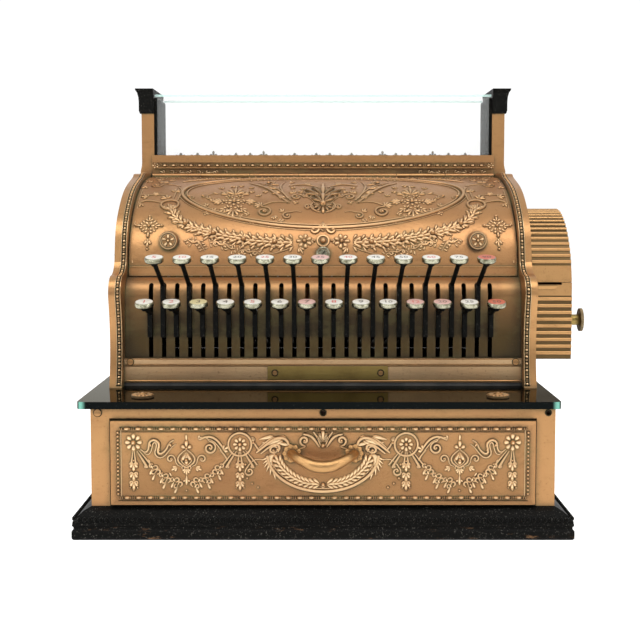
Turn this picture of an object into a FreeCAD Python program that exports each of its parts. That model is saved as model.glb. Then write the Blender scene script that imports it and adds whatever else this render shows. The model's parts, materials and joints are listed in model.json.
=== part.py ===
"""Antique bronze-cased cash register with a two-bank lever keyboard, curved lid, glazed indicator
window, spring-thrown cash drawer and a ribbed strip-printer housing on its right side.

Millimetres. X runs to the right, Y towards the back, Z up. The origin is the centre of the face
that the base board rests on.
"""
import FreeCAD
import Part
import math
import os

Vector = FreeCAD.Vector

# ---------------------------------------------------------------- keyboard, which sets the width
front_keys = 14
back_keys = 13
slot_pitch = 12.7            # between neighbouring lever slots, the two banks alternating
slot_width = 4.4
keyboard_margin = 27.6       # outermost slot to the side casting
keyboard_shift = -2.5        # the keyboard sits a little left of the middle
side_thickness = 12.0

# ---------------------------------------------------------------- heights, from the bottom up
plinth_height = 27.5
case_height = 90.0
glass_thickness = 6.5
base_plate_thickness = 3.7
cabinet_height = 210.0       # side castings, from the glass to their shoulders
window_height = 68.5         # bronze posts, from the shoulders to the caps
cap_height = 27.5

# ---------------------------------------------------------------- depths
case_depth = 374.0
front_ledge = 67.0           # shelf left free in front of the cabinet
rear_ledge = 11.0
tower_depth = 74.0           # indicator window, front to back
tower_inset = 9.0            # window's back face to the cabinet's back edge

# ---------------------------------------------------------------- walls and gaps
case_wall = 8.0
face_frame_thickness = 6.0
case_ledge = 4.5             # drawer case beyond the side castings
plinth_overhang = 15.3
running_gap = 0.05           # radial, shaft in bore
part_gap = 0.7               # between a moving panel and what it closes against
drawer_gap = 1.4
slide_gap = 0.3              # tray to its runners
shell = 3.0                  # lid and keyboard panel
printer_wall = 2.5

# ---------------------------------------------------------------- derived planes
inner_half = (front_keys + back_keys - 1) / 2 * slot_pitch + keyboard_margin
outer_half = inner_half + side_thickness
case_half = outer_half + case_ledge
plinth_half = case_half + plinth_overhang
case_front = -case_depth / 2
case_back = case_depth / 2
case_top = plinth_height + case_height
glass_top = case_top + glass_thickness
base_top = glass_top + base_plate_thickness
cabinet_front = case_front + front_ledge
cabinet_back = case_back - rear_ledge
shoulder = glass_top + cabinet_height
tower_back = cabinet_back - tower_inset
tower_front = tower_back - tower_depth
tower_mid = (tower_front + tower_back) / 2

# ---------------------------------------------------------------- keyboard panel and lid
panel_front = cabinet_front + 22.0
panel_lean = 2.0             # the panel's face leans back by this much over its height
slot_bottom = base_top + 23.3
slot_height = 72.0
slot_top = slot_bottom + slot_height
rail_front = cabinet_front + 13.0
rail_height = 6.2
rail_thickness = 6.0
lower_panel_thickness = 4.0
panel_top = slot_top + 5.5
lid_bottom = panel_top + part_gap
lid_band_height = 9.0
lid_front = cabinet_front + 42.5
lid_back = tower_front - 12.0
lid_base = lid_bottom + lid_band_height
lid_band_step = 1.5
lid_depth = lid_back - lid_front
lid_rise = shoulder - 3.7 - lid_base
hinge_radius = 2.8
hinge_pin_radius = 1.2
lid_hinge_y = lid_back + 3.0
lid_hinge_z = lid_base + lid_rise + 2.2
cornice_rise = 21.5          # indicator cornice above the shoulders

# ---------------------------------------------------------------- key levers
lever_thickness = 3.2
lever_depth = 13.0           # at the shaft
lever_foot = 9.0             # where it meets the stem
stem_thickness = 4.4
stem_depth = 5.5
stem_gap = 1.5               # stem to the panel
stem_foot = slot_bottom + 20.5
tail_depth = 8.0
hub_radius = 7.5
hub_width = 6.0
key_shaft_radius = 4.0
key_shaft_y = cabinet_front + 170.0
key_shaft_z = base_top + 22.0
cap_radius = 8.6
cap_thickness = 6.0
cap_tilt = 14.0
neck_radius = 2.2
cap_reach = 40.0             # caps in front of the panel
back_bank = dict(stem_top=slot_top + 1.0, cap_z=slot_top + 27.5, splay=0.5)
front_bank = dict(stem_top=slot_top - 26.0, cap_z=slot_top - 14.3, splay=0.0)

# ---------------------------------------------------------------- strip printer, right-hand side
printer_radius = 84.0
printer_top = 66.5           # half drum's top above the foot of the lid
printer_width = 41.3
printer_gap = 2.5            # cover to the side casting, so that it passes the window post
printer_y = cabinet_front + 124.0
printer_z = lid_bottom + printer_top - printer_radius
printer_bottom = printer_z - 65.0
printer_seam = printer_z + 11.4
rib_pitch = 6.7
rib_height = 1.7
rib_half = 2.1
knob_radius = 12.0
knob_y = printer_y - 34.0
knob_z = printer_z - 30.5
knob_neck_radius = 6.7
spool_radius = 20.0
spool_shaft_radius = 3.0
roll_radius = 27.0
roll_bore = 4.0
roll_y = printer_y + printer_radius - 40.0
roll_z = printer_z - 28.0

# ---------------------------------------------------------------- what sits inside the cabinet
frame_plate = 5.0
frame_inset = 7.0            # inner frame plates from the side castings
adder_radius = 20.0
adder_shaft_radius = 4.0
adder_y = (lid_front + lid_back) / 2 - 1.0
adder_z = lid_base + 0.33 * lid_rise
gong_radius = 27.0
gong_depth = 13.0
gong_y = tower_front - 34.0
gong_z = panel_top + 3.0
tablet_width = 24.0
tablet_height = 40.0
tablet_thickness = 1.0
tablet_row_gap = 16.0

# ---------------------------------------------------------------- drawer
drawer_front_thickness = 8.5
drawer_proud = 3.5
tray_wall = 7.0
tray_floor = 5.0
tray_height = 62.0
tray_back_space = 31.0       # behind the tray, for the throwing spring
handle_span = 56.0
handle_reach = 24.0
handle_drop = 7.0
handle_radius = 4.3

# ---------------------------------------------------------------- name plate, lid fittings, window, hammer
plate_centre = 4.6
plate_half = 58.2
plate_height = 13.0
plate_thickness = 1.0
plate_screw = 51.2           # screws from the plate's middle
plate_z = base_top + 9.3
button_radius = 9.0
button_proud = 8.0
button_x = 152.5
button_z = lid_base + 26.0
lock_case_radius = 7.0
lock_plug_radius = 4.6
lock_z = lid_base + 13.4
lock_clearance = 0.11        # lock case behind the lid's shell, at the keeper's top
keeper_thickness = 2.6
keeper_gap = 0.8             # keeper over the turned-up cam
cam_length = 27.0
cam_width = 6.0
jamb_thickness = 3.0
jamb_top = shoulder + window_height + cap_height - 10.0
pane_thickness = 3.0
top_pane_thickness = 4.2
hammer_pivot_y = gong_y - gong_radius - 9.0
hammer_ball = 4.0
shelf_rosettes = (-165.0, 160.0)


# ---------------------------------------------------------------- small helpers
def box(x0, x1, y0, y1, z0, z1):
    return Part.makeBox(x1 - x0, y1 - y0, z1 - z0, Vector(x0, y0, z0))


def mid_box(half_x, y0, y1, z0, z1, centre_x=0.0):
    return box(centre_x - half_x, centre_x + half_x, y0, y1, z0, z1)


def rod_x(radius, x0, x1, y, z):
    return Part.makeCylinder(radius, x1 - x0, Vector(x0, y, z), Vector(1, 0, 0))


def rod_y(radius, y0, y1, x, z):
    return Part.makeCylinder(radius, y1 - y0, Vector(x, y0, z), Vector(0, 1, 0))


def rod_z(radius, z0, z1, x, y):
    return Part.makeCylinder(radius, z1 - z0, Vector(x, y, z0), Vector(0, 0, 1))


def line(a, b):
    return Part.LineSegment(a, b).toShape()


def arc(a, b, c):
    return Part.Arc(a, b, c).toShape()


def yz(y, z, x=0.0):
    return Vector(x, y, z)


def outline_solid(edges, x0, x1):
    """Closed outline in the plane X = 0, drawn out from x0 to x1."""
    face = Part.Face(Part.Wire(Part.__sortEdges__(edges)))
    face.translate(Vector(x0, 0, 0))
    return face.extrude(Vector(x1 - x0, 0, 0))


def polygon_solid(points, x0, x1):
    closed = points + [points[0]]
    return outline_solid([line(yz(*a), yz(*b)) for a, b in zip(closed, closed[1:])], x0, x1)


def turned(profile, base, tilt):
    """Profile of (radius, height) points spun about its own upright axis, stood at base, tilted to the front."""
    points = [Vector(r, 0, h) for r, h in profile + [profile[0]]]
    face = Part.Face(Part.makePolygon(points))
    solid = face.revolve(Vector(0, 0, 0), Vector(0, 0, 1), 360)
    solid.rotate(Vector(0, 0, 0), Vector(1, 0, 0), tilt)
    solid.translate(base)
    return solid


def fused(shapes):
    whole = shapes[0].multiFuse(shapes[1:]).removeSplitter()
    return whole.Solids[0] if len(whole.Solids) == 1 else whole


def export(name, shapes):
    solids = [s for shape in shapes for s in (shape.Solids or [shape])]
    Part.makeCompound(solids).exportStep("parts/" + name + ".step")


def quarter_dome(inset):
    """Lid curve, inset from its outside: the (start, middle, end) points of the ellipse and its edge."""
    reach, rise = lid_depth - inset, lid_rise - inset
    curve = Part.Ellipse(Vector(0, 0, 0), max(reach, rise), min(reach, rise))
    frame = FreeCAD.Matrix(0, 0, 1, 0, -1, 0, 0, lid_back, 0, 1, 0, lid_base, 0, 0, 0, 1)
    if rise > reach:
        frame = FreeCAD.Matrix(0, 0, 1, 0, 0, 1, 0, lid_back, 1, 0, 0, lid_base, 0, 0, 0, 1)
    edge = Part.ArcOfEllipse(curve, 0, math.pi / 2).toShape()
    return edge.transformGeometry(frame)


def dome_y(z, inset=0.0):
    """Y of the lid's surface at a height, inset from its outside."""
    share = (z - lid_base) / (lid_rise - inset)
    return lid_back - (lid_depth - inset) * math.sqrt(max(0.0, 1 - share * share))


# ---------------------------------------------------------------- base and drawer case
def keeper_height():
    """Underside of the keeper, which the lock's cam turns up under."""
    return lock_z + cam_width / 2 + keeper_gap


def lock_back():
    return dome_y(keeper_height() + keeper_thickness, shell) + lock_clearance


def plinth():
    """Moulded base board: a plain foot, a bead, and an ogee up to the drawer case."""
    depth_half = case_depth / 2 + plinth_overhang
    steps = [  # (height share, how far in from the edge as a share of the overhang)
        (0.0, 0.10), (0.06, 0.0), (0.30, 0.0), (0.36, 0.10), (0.42, 0.10),
        (0.48, 0.02), (0.62, 0.06), (0.70, 0.22), (0.76, 0.30), (0.90, 0.62), (1.0, 1.0),
    ]
    layers = []
    for share, inset in steps:
        hx = plinth_half - inset * plinth_overhang
        hy = depth_half - inset * plinth_overhang
        z = share * plinth_height
        corners = [Vector(-hx, -hy, z), Vector(hx, -hy, z), Vector(hx, hy, z), Vector(-hx, hy, z)]
        layers.append(Part.makePolygon(corners + corners[:1]))
    return Part.makeLoft(layers, True, True)


def drawer_case():
    """Walls, with runners under the tray, guides beside it and kickers over it."""
    inner = case_half - case_wall
    y0 = case_front + face_frame_thickness
    walls = [box(s * inner if s > 0 else -case_half, case_half if s > 0 else -inner,
                 y0, case_back, plinth_height, case_top) for s in (-1, 1)]
    y1 = case_back - case_wall
    back = mid_box(inner, y1, case_back, plinth_height, case_top)
    top = mid_box(inner, y0, y1, case_top - case_wall, case_top)
    half, _, _, tray_bottom, tray_top = tray_planes()
    rails = []
    for s in (-1, 1):
        a, b = sorted((s * (half - 30.0), s * inner))
        rails.append(box(a, b, y0 + 2.0, y1, plinth_height, tray_bottom - slide_gap))
        a, b = sorted((s * (half + part_gap), s * inner))
        rails.append(box(a, b, y0 + 2.0, y1, tray_bottom - slide_gap, tray_bottom + 15.0))
        a, b = sorted((s * (half - 20.0), s * inner))
        rails.append(box(a, b, y0 + 2.0, y1, tray_top + slide_gap + 0.8, case_top - case_wall))
    return walls + [back, top] + rails


def opening_half():
    return inner_half - 0.4


def opening_top():
    return case_top - 10.2


def case_face_frame():
    """Top rail and two stiles round the drawer. Two of the rail's three screw holes are empty."""
    y1 = case_front + face_frame_thickness
    rail = mid_box(case_half, case_front, y1, opening_top(), case_top)
    for x in (0.0, case_half - 6.5, -(case_half - 6.5)):
        rail = rail.cut(rod_y(2.1, case_front - 1, y1 + 1, x, case_top - 5.0))
    stiles = [box(min(a, b), max(a, b), case_front, y1, plinth_height, opening_top())
              for a, b in ((-case_half, -opening_half()), (opening_half(), case_half))]
    return [rail] + stiles


def glass_shelf():
    """Plate glass over the whole drawer case, laid a little to the left, with eased front corners."""
    overhang, shift, corner = 7.0, -3.5, 5.0
    half = case_half + overhang
    plate = box(shift - half, shift + half, case_front - 10.5, case_back, case_top, glass_top)
    uprights = [e for e in plate.Edges if abs(e.Vertexes[0].X - e.Vertexes[-1].X) < 1e-6
                and abs(e.Vertexes[0].Y - e.Vertexes[-1].Y) < 1e-6 and e.Vertexes[0].Y < 0]
    return plate.makeFillet(corner, uprights)


# ---------------------------------------------------------------- cabinet casing
def side_casting(side):
    """Cast cheek: belly beside the keys, step at the lid, dome, and a flat shoulder to the back."""
    f, z0 = cabinet_front, glass_top
    waist = slot_bottom + 14.0
    belly = slot_top - 13.0
    step = lid_bottom
    edges = [
        arc(yz(f, z0), yz(f + 7.0, waist), yz(f, belly)),
        arc(yz(f, belly), yz(f + 2.0, (belly + step) / 2 + 3.0), yz(f + 14.0, step + 2.0)),
        arc(yz(f + 14.0, step + 2.0), yz(f + 29.0, step + 7.0), yz(f + 35.0, step + 14.0)),
    ]
    start = yz(f + 35.0, step + 14.0)
    end = yz(lid_back, shoulder)
    reach, rise = end.y - start.y, end.z - start.z
    dome = [yz(end.y - reach * math.cos(t), start.z + rise * math.sin(t) ** 0.94)
            for t in (math.radians(a) for a in (0, 18, 36, 54, 72, 90))]
    curve = Part.BSplineCurve()
    curve.interpolate(Points=dome, InitialTangent=yz(0.25, 1).normalize(), FinalTangent=yz(1, 0))
    edges.append(curve.toShape())
    edges += [
        line(end, yz(cabinet_back, shoulder)),
        line(yz(cabinet_back, shoulder), yz(cabinet_back, z0)),
        line(yz(cabinet_back, z0), yz(f, z0)),
    ]
    x0, x1 = sorted((side * inner_half, side * outer_half))
    cheek = outline_solid(edges, x0, x1)
    if side > 0:
        cheek = cheek.cut(rod_x(adder_shaft_radius + 0.5, x0 - 1, x1 + 1, adder_y, adder_z))
    return cheek


def slot_positions():
    """X of every slot, left to right, with its bank: the front bank takes the odd ones."""
    total = front_keys + back_keys
    first = keyboard_shift - (total - 1) / 2 * slot_pitch
    return [(first + i * slot_pitch, "front" if i % 2 == 0 else "back") for i in range(total)]


def keyboard_panel():
    """Sheet bowed over at the top, with one upright slot for every key lever."""
    f, t = panel_front, shell
    z0, z1, z2 = slot_bottom - rail_height - 0.2, slot_top - 16.0, panel_top
    top_y = lid_front + 0.5
    lean = panel_lean
    edges = [
        line(yz(f, z0), yz(f + lean, z1)),
        arc(yz(f + lean, z1), yz(f + lean + 4.5, z1 + 14.5), yz(top_y, z2)),
        line(yz(top_y, z2), yz(top_y, z2 - t)),
        arc(yz(top_y, z2 - t), yz(f + lean + 7.6, z1 + 12.5), yz(f + lean + t, z1)),
        line(yz(f + lean + t, z1), yz(f + t, z0)),
        line(yz(f + t, z0), yz(f, z0)),
    ]
    panel = outline_solid(edges, -inner_half + 0.3, inner_half - 0.3)
    r = slot_width / 2
    cutters = []
    for x, _ in slot_positions():
        slot = box(x - r, x + r, f - 5, f + 30, slot_bottom, slot_top - r)
        cutters.append(slot.fuse(rod_y(r, f - 5, f + 30, x, slot_top - r)))
    return panel.cut(Part.makeCompound(cutters))


def keyboard_rail():
    """Flat bar across the foot of the slots, held by a screw at each end."""
    half = inner_half - 0.3
    y1 = rail_front + rail_thickness
    bar = mid_box(half, rail_front, y1, slot_bottom - rail_height - 0.2, slot_bottom - 0.2)
    bar = bar.fuse(mid_box(half, y1, panel_front, slot_bottom - rail_height + 1.8, slot_bottom - 1.8))
    for side in (-1, 1):
        bar = bar.cut(rod_y(2.0, rail_front - 1, y1 + 8, side * (half - 6.0), slot_bottom - 3.3))
    return bar.removeSplitter()


def lower_front_panel():
    half = inner_half - 0.3
    top = slot_bottom - rail_height - 0.4
    y1 = rail_front + lower_panel_thickness
    plate = mid_box(half, rail_front + 0.8, y1, base_top, top)
    foot = mid_box(half, rail_front, rail_front + 0.8, base_top, base_top + 1.8)
    panel = plate.fuse(foot).removeSplitter()
    for x in (-1, 1):
        panel = panel.cut(rod_y(1.4, rail_front - 1, y1 + 1, plate_centre + x * plate_screw, plate_z))
    return panel


def name_plate():
    """Blank brass plate."""
    y1 = rail_front + 0.8
    plate = mid_box(plate_half, y1 - plate_thickness, y1,
                    plate_z - plate_height / 2, plate_z + plate_height / 2, plate_centre)
    for x in (-1, 1):
        plate = plate.cut(rod_y(1.4, y1 - 3, y1 + 1, plate_centre + x * plate_screw, plate_z))
    return plate


def back_panel():
    return mid_box(inner_half - 0.3, tower_back + 0.4, tower_back + 3.4, base_top, shoulder + cornice_rise - 0.5)


def lid():
    """Curved lid: plain band, quarter-ellipse field, hinge barrels, two pull buttons and a lock case."""
    half = inner_half - 1.0
    f, t = lid_front, shell
    outer = quarter_dome(0.0)
    inner = quarter_dome(t)
    edges = [
        outer, inner,
        line(yz(f, lid_base), yz(f - lid_band_step, lid_base)),
        line(yz(f - lid_band_step, lid_base), yz(f - lid_band_step, lid_bottom)),
        line(yz(f - lid_band_step, lid_bottom), yz(f + t, lid_bottom)),
        line(yz(f + t, lid_bottom), yz(f + t, lid_base)),
        line(yz(lid_back, lid_base + lid_rise), yz(lid_back, lid_base + lid_rise - t)),
    ]
    plate = outline_solid(edges, -half, half)
    web_top = lid_hinge_z
    barrels = []
    for x0, x1 in hinge_spans(half, odd=False):
        barrel = rod_x(hinge_radius, x0, x1, lid_hinge_y, lid_hinge_z)
        web = box(x0, x1, lid_back - 2.0, lid_hinge_y, lid_base + lid_rise - t, web_top - 1.0)
        barrels += [barrel, web]
    shell_solid = fused([plate] + barrels)
    bore = rod_x(hinge_pin_radius + running_gap, -half - 1, half + 1, lid_hinge_y, lid_hinge_z)
    shell_solid = shell_solid.cut(bore)
    lock_hole = rod_y(lock_case_radius - 0.8, lid_front - 9, lock_back(), 0, lock_z)
    shell_solid = shell_solid.cut(lock_hole)
    button_inside = dome_y(button_z + button_radius, shell) + 1.0
    buttons = [rod_y(button_radius, dome_y(button_z) - button_proud, button_inside, side * button_x, button_z)
               for side in (-1, 1)]
    shell_solid = shell_solid.cut(buttons[0]).cut(buttons[1])
    pieces = [shell_solid] + buttons
    flange = rod_y(lock_case_radius, lid_front - 3.2, dome_y(lock_z) + 0.6, 0, lock_z)
    barrel = rod_y(lock_case_radius - 0.9, lid_front - 3.0, lock_back(), 0, lock_z)
    flange = flange.cut(plate)
    case = fused([max(flange.Solids, key=lambda s: s.Volume), barrel])
    pieces.append(case.cut(rod_y(lock_plug_radius + running_gap, lid_front - 9, lock_back() + 1, 0, lock_z)))
    return pieces


def hinge_spans(half, odd, count=7, gap=0.3):
    """The lid's barrels are the even spans along the hinge, the cornice's the odd ones."""
    step = 2 * half / count
    return [(-half + i * step + gap, -half + (i + 1) * step - gap) for i in range(count) if i % 2 == (1 if odd else 0)]


def lid_lock():
    """Key plug with a slot, and the cam that turns up under the keeper to lock the lid."""
    back = lock_back()
    plug = rod_y(lock_plug_radius, lid_front - 3.0, back + 3.0, 0, lock_z)
    slot = box(-0.8, 0.8, lid_front - 4, lid_front, lock_z - 3.4, lock_z + 3.4)
    slot.rotate(Vector(0, 0, lock_z), Vector(0, 1, 0), 42)
    cam = box(-cam_width / 2, cam_width / 2, back + 0.6, back + 3.0,
              lock_z - cam_length + cam_width / 2, lock_z + cam_width / 2)
    return fused([plug, cam]).cut(slot)


# ---------------------------------------------------------------- indicator window
def indicator_cornice():
    """Front moulding and the open deck that the tablets rise through, between the posts."""
    half = inner_half - 0.7
    top = shoulder + cornice_rise
    front = tower_front
    band = mid_box(half, front - 8.0, front - 0.3, top - 8.2, top)
    bead = mid_box(half, front - 6.0, front - 0.3, top - 14.6, top - 8.2)
    fascia = mid_box(half, front - 2.0, front - 0.3, lid_base + lid_rise - 2.0, top - 14.6)
    barrels = []
    for x0, x1 in hinge_spans(inner_half - 1.0, odd=True):
        barrels.append(rod_x(hinge_radius, x0, x1, lid_hinge_y, lid_hinge_z))
        barrels.append(box(x0, x1, lid_hinge_y, front - 1.0, lid_hinge_z - 1.2, lid_hinge_z + 1.2))
    moulding = fused([band, bead, fascia] + barrels)
    bore = rod_x(hinge_pin_radius + running_gap, -inner_half, inner_half, lid_hinge_y, lid_hinge_z)
    moulding = moulding.cut(bore)
    deck_half = inner_half - jamb_thickness - 2.4
    deck = mid_box(deck_half, front, tower_back, top - 5.0, top - 2.0)
    slot = mid_box(deck_half - 8.0, tower_mid - 16.0, tower_mid + 16.0, top - 6.0, top - 1.0)
    return [moulding, deck.cut(slot)]


def window_posts():
    """Bronze side walls of the window, each flared at its foot onto the casting's shoulder."""
    posts = []
    top = shoulder + window_height
    for s in (-1, 1):
        inner, outer, flare = s * (inner_half - 2.0), s * outer_half, s * (outer_half + 1.6)
        edges = [
            line(Vector(inner, 0, shoulder), Vector(flare, 0, shoulder)),
            line(Vector(flare, 0, shoulder), Vector(flare, 0, shoulder + 4)),
            arc(Vector(flare, 0, shoulder + 4), Vector(s * (outer_half + 0.4), 0, shoulder + 9),
                Vector(outer, 0, shoulder + 17)),
            line(Vector(outer, 0, shoulder + 17), Vector(outer, 0, top)),
            line(Vector(outer, 0, top), Vector(inner, 0, top)),
            line(Vector(inner, 0, top), Vector(inner, 0, shoulder)),
        ]
        face = Part.Face(Part.Wire(Part.__sortEdges__(edges)))
        face.translate(Vector(0, tower_front, 0))
        posts.append(face.extrude(Vector(0, tower_depth, 0)))
    return posts


def window_jambs():
    """Blackened steel liners inside the posts, which the panes stand against."""
    jambs = []
    for s in (-1, 1):
        x0, x1 = sorted((s * (inner_half - 2.2), s * (inner_half - 2.2 - jamb_thickness)))
        jambs.append(box(x0, x1, tower_front + 1.5, tower_back - 1.5, shoulder, jamb_top))
    return jambs


def post_caps():
    """Black caps, coved out to the front, back and outside, that a top sign would be bolted to."""
    caps = []
    for s in (-1, 1):
        levels = [(0.0, 1.6), (0.12, 2.6), (0.45, 2.6), (0.66, 3.0), (0.84, 4.2), (0.94, 6.0), (1.0, 6.2)]
        wires = []
        for share, out in levels:
            z = shoulder + window_height + share * cap_height
            x0, x1 = sorted((s * (inner_half - 2.0), s * (outer_half + out)))
            y0, y1 = tower_front - out, tower_back + out
            corners = [Vector(x0, y0, z), Vector(x1, y0, z), Vector(x1, y1, z), Vector(x0, y1, z)]
            wires.append(Part.makePolygon(corners + corners[:1]))
        caps.append(Part.makeLoft(wires, True, True))
    return caps


def window_glass():
    half = inner_half - jamb_thickness - 2.6
    bottom = shoulder + cornice_rise - 1.8
    front = mid_box(half, tower_front + 2.0, tower_front + 2.0 + pane_thickness, bottom, jamb_top - 0.2)
    back = mid_box(half, tower_back - 2.0 - pane_thickness, tower_back - 2.0, bottom, jamb_top - 0.2)
    top = mid_box(inner_half - 2.6, tower_front + 0.5, tower_back - 0.5, jamb_top, jamb_top + top_pane_thickness)
    return [front, back, top]


def indicator_tablets():
    """One number plate on a rod for each key, standing in two ranks below the window."""
    plate_top = shoulder + cornice_rise - 8.0
    rod_bottom = key_shaft_z + 24.0
    tablets = []
    for x, bank in slot_positions():
        y = tower_mid + (-1 if bank == "front" else 1) * tablet_row_gap / 2
        plate = box(x - tablet_width / 2, x + tablet_width / 2, y, y + tablet_thickness,
                    plate_top - tablet_height, plate_top)
        rod = box(x - 1.2, x + 1.2, y + tablet_thickness, y + tablet_thickness + 2.0, rod_bottom, plate_top - 8.0)
        tablets.append(fused([plate, rod]))
    return tablets


# ---------------------------------------------------------------- keys
def lever_points(stem_top):
    """Side view of a lever: an arm from the shaft, out through its slot, and the stem up the panel's face."""
    stem_back = panel_front - stem_gap
    stem_front = stem_back - stem_depth
    return [
        (key_shaft_y, key_shaft_z + lever_depth / 2), (stem_back, stem_foot + lever_foot), (stem_back, stem_top),
        (stem_front, stem_top), (stem_front, stem_foot), (key_shaft_y, key_shaft_z - lever_depth / 2),
    ]


def key(x, bank, index, count):
    """Lever with its hub, tail, stem and neck, nickel cap, and the printed disc in the cap."""
    tilt = math.radians(cap_tilt)
    normal = Vector(0, -math.sin(tilt), math.cos(tilt))
    offset = (index - (count - 1) / 2) * bank["splay"]
    top = Vector(x + offset, panel_front - cap_reach, bank["cap_z"]) - normal * cap_thickness
    points = lever_points(bank["stem_top"])
    t = lever_thickness / 2
    plate = polygon_solid(points, x - t, x + t)
    stem_back, stem_front = points[2][0], points[3][0]
    stem = mid_box(stem_thickness / 2, stem_front, stem_back, stem_foot, bank["stem_top"], x)
    bend = Vector(x, (stem_front + stem_back) / 2, bank["stem_top"] - neck_radius)
    neck = Part.makeCylinder(neck_radius, (top - bend).Length, bend, top - bend)
    elbow = Part.makeSphere(neck_radius, bend)
    seat = Part.makeCone(neck_radius, neck_radius + 2.0, 3.0, top - normal * 3.0, normal)
    hub = rod_x(hub_radius, x - hub_width / 2, x + hub_width / 2, key_shaft_y, key_shaft_z)
    tail_end = tower_mid + tablet_row_gap / 2 + 5.0
    tail = box(x - t, x + t, key_shaft_y, tail_end, key_shaft_z - tail_depth / 2, key_shaft_z + tail_depth / 2)
    lever = fused([plate, stem, elbow, neck, seat, hub, tail])
    lever = lever.cut(Part.makeCylinder(cap_radius, cap_thickness, top, normal))
    lever = lever.cut(rod_x(key_shaft_radius + running_gap, x - 9, x + 9, key_shaft_y, key_shaft_z))
    r, h = cap_radius, cap_thickness
    cup = turned([(0, 0), (r - 3.0, 0), (r - 0.9, 0.8), (r, 2.4), (r, 4.4), (r - 0.7, h - 0.3), (r - 1.3, h),
                  (r - 1.9, h), (r - 2.2, h - 0.7), (0, h - 0.7)], top, cap_tilt)
    disc = turned([(0, h - 0.7), (r - 2.25, h - 0.7), (r - 2.25, h - 0.4), (0, h - 0.05)], top, cap_tilt)
    return [lever, cup, disc]


def key_shaft():
    """Shaft that all the levers turn on, with a spacing collar between neighbours."""
    end = inner_half - frame_inset
    shaft = rod_x(key_shaft_radius, -end, end, key_shaft_y, key_shaft_z)
    collars = []
    positions = [x for x, _ in slot_positions()]
    for a, b in zip(positions, positions[1:]):
        x0, x1 = a + hub_width / 2 + 0.3, b - hub_width / 2 - 0.3
        collar = rod_x(key_shaft_radius + 2.0, x0, x1, key_shaft_y, key_shaft_z)
        collars.append(collar.cut(rod_x(key_shaft_radius + running_gap, x0 - 1, x1 + 1, key_shaft_y, key_shaft_z)))
    return [shaft] + collars


# ---------------------------------------------------------------- works inside the cabinet
def mechanism_frame():
    """Base plate, two inner side plates, tie rod with the lid's keeper, and the tablets' two guides."""
    base = mid_box(inner_half - 0.3, rail_front + 1.0, tower_back, glass_top, base_top)
    edge = quarter_dome(14.0)
    y0 = lid_front + 14.0
    top = lid_base + lid_rise - 14.0
    edges = [
        edge,
        line(yz(y0, lid_base), yz(y0, base_top)),
        line(yz(y0, base_top), yz(tower_back - 4.0, base_top)),
        line(yz(tower_back - 4.0, base_top), yz(tower_back - 4.0, top)),
        line(yz(tower_back - 4.0, top), yz(lid_back, top)),
    ]
    outer = inner_half - frame_inset
    plates = []
    for s in (-1, 1):
        x0, x1 = sorted((s * outer, s * (outer - frame_plate)))
        plate = outline_solid(edges, x0, x1)
        plate = plate.cut(rod_x(key_shaft_radius + running_gap, x0 - 1, x1 + 1, key_shaft_y, key_shaft_z))
        plate = plate.cut(rod_x(adder_shaft_radius + running_gap, x0 - 1, x1 + 1, adder_y, adder_z))
        plates.append(plate)
    inner = outer - frame_plate
    tie_y, tie_z = lid_front + 26.0, lid_base - 4.0
    tie = rod_x(4.0, -inner, inner, tie_y, tie_z)
    keeper_z = keeper_height()
    post = box(8.0, 24.0, tie_y - 1.5, tie_y + 1.5, tie_z, keeper_z)
    keeper = box(8.0, 24.0, lock_back() + 1.4, tie_y + 1.5, keeper_z, keeper_z + keeper_thickness)
    guides = []
    rods = Part.makeCompound(indicator_tablets())
    for z in (key_shaft_z + 0.30 * (shoulder - key_shaft_z), key_shaft_z + 0.68 * (shoulder - key_shaft_z)):
        reach = tablet_row_gap / 2 + 5.0
        guides.append(mid_box(inner, tower_mid - reach, tower_mid + reach, z, z + 6.0).cut(rods))
    return [base] + plates + [fused([tie, post, keeper])] + guides


def adding_wheels():
    """Number wheels under the lid and type wheels in the printer, on one arbor."""
    left = -(inner_half - frame_inset)
    right = outer_half + printer_width - 6.0
    arbor = rod_x(adder_shaft_radius, left, right, adder_y, adder_z)
    wheels = [arbor]
    for i in range(6):
        x0 = -33.0 + i * 11.0
        wheels.append(rod_x(adder_radius, x0, x0 + 9.0, adder_y, adder_z))
    for i in range(4):
        x0 = outer_half + 9.0 + i * 6.5
        wheels.append(rod_x(adder_radius * 0.65, x0, x0 + 5.0, adder_y, adder_z))
    return [wheels[0]] + [w.cut(wheels[0]) for w in wheels[1:]]


def bell():
    """Domed gong on a stud from the left frame plate."""
    x0 = -(inner_half - frame_inset - frame_plate)
    rim = rod_x(gong_radius, x0 + 8.0, x0 + 8.0 + gong_depth, gong_y, gong_z)
    hollow = rod_x(gong_radius - 2.0, x0 + 7.0, x0 + 8.0 + gong_depth - 2.0, gong_y, gong_z)
    stud = rod_x(3.0, x0, x0 + 8.0 + gong_depth - 2.0, gong_y, gong_z)
    return [rim.cut(hollow), stud]


def hammer_pivot_z():
    return gong_z - 36.0


def bell_hammer():
    """Arm on a pin from the left frame plate, with a ball that strikes the gong's rim."""
    x0 = -(inner_half - frame_inset - frame_plate)
    x = x0 + 8.0 + gong_depth / 2
    y, z = hammer_pivot_y, hammer_pivot_z()
    eye = rod_x(4.0, x - 2.5, x + 2.5, y, z)
    arm = box(x - 1.2, x + 1.2, y - 1.5, y + 1.5, z, gong_z)
    ball = Part.makeSphere(hammer_ball, Vector(x, y + 2.0, gong_z))
    bore = rod_x(2.0 + running_gap, x - 4, x + 4, y, z)
    return fused([eye, arm, ball]).cut(bore)


def hammer_pin():
    x0 = -(inner_half - frame_inset - frame_plate)
    return rod_x(2.0, x0, x0 + 8.0 + gong_depth / 2 + 4.0, hammer_pivot_y, hammer_pivot_z())


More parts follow.
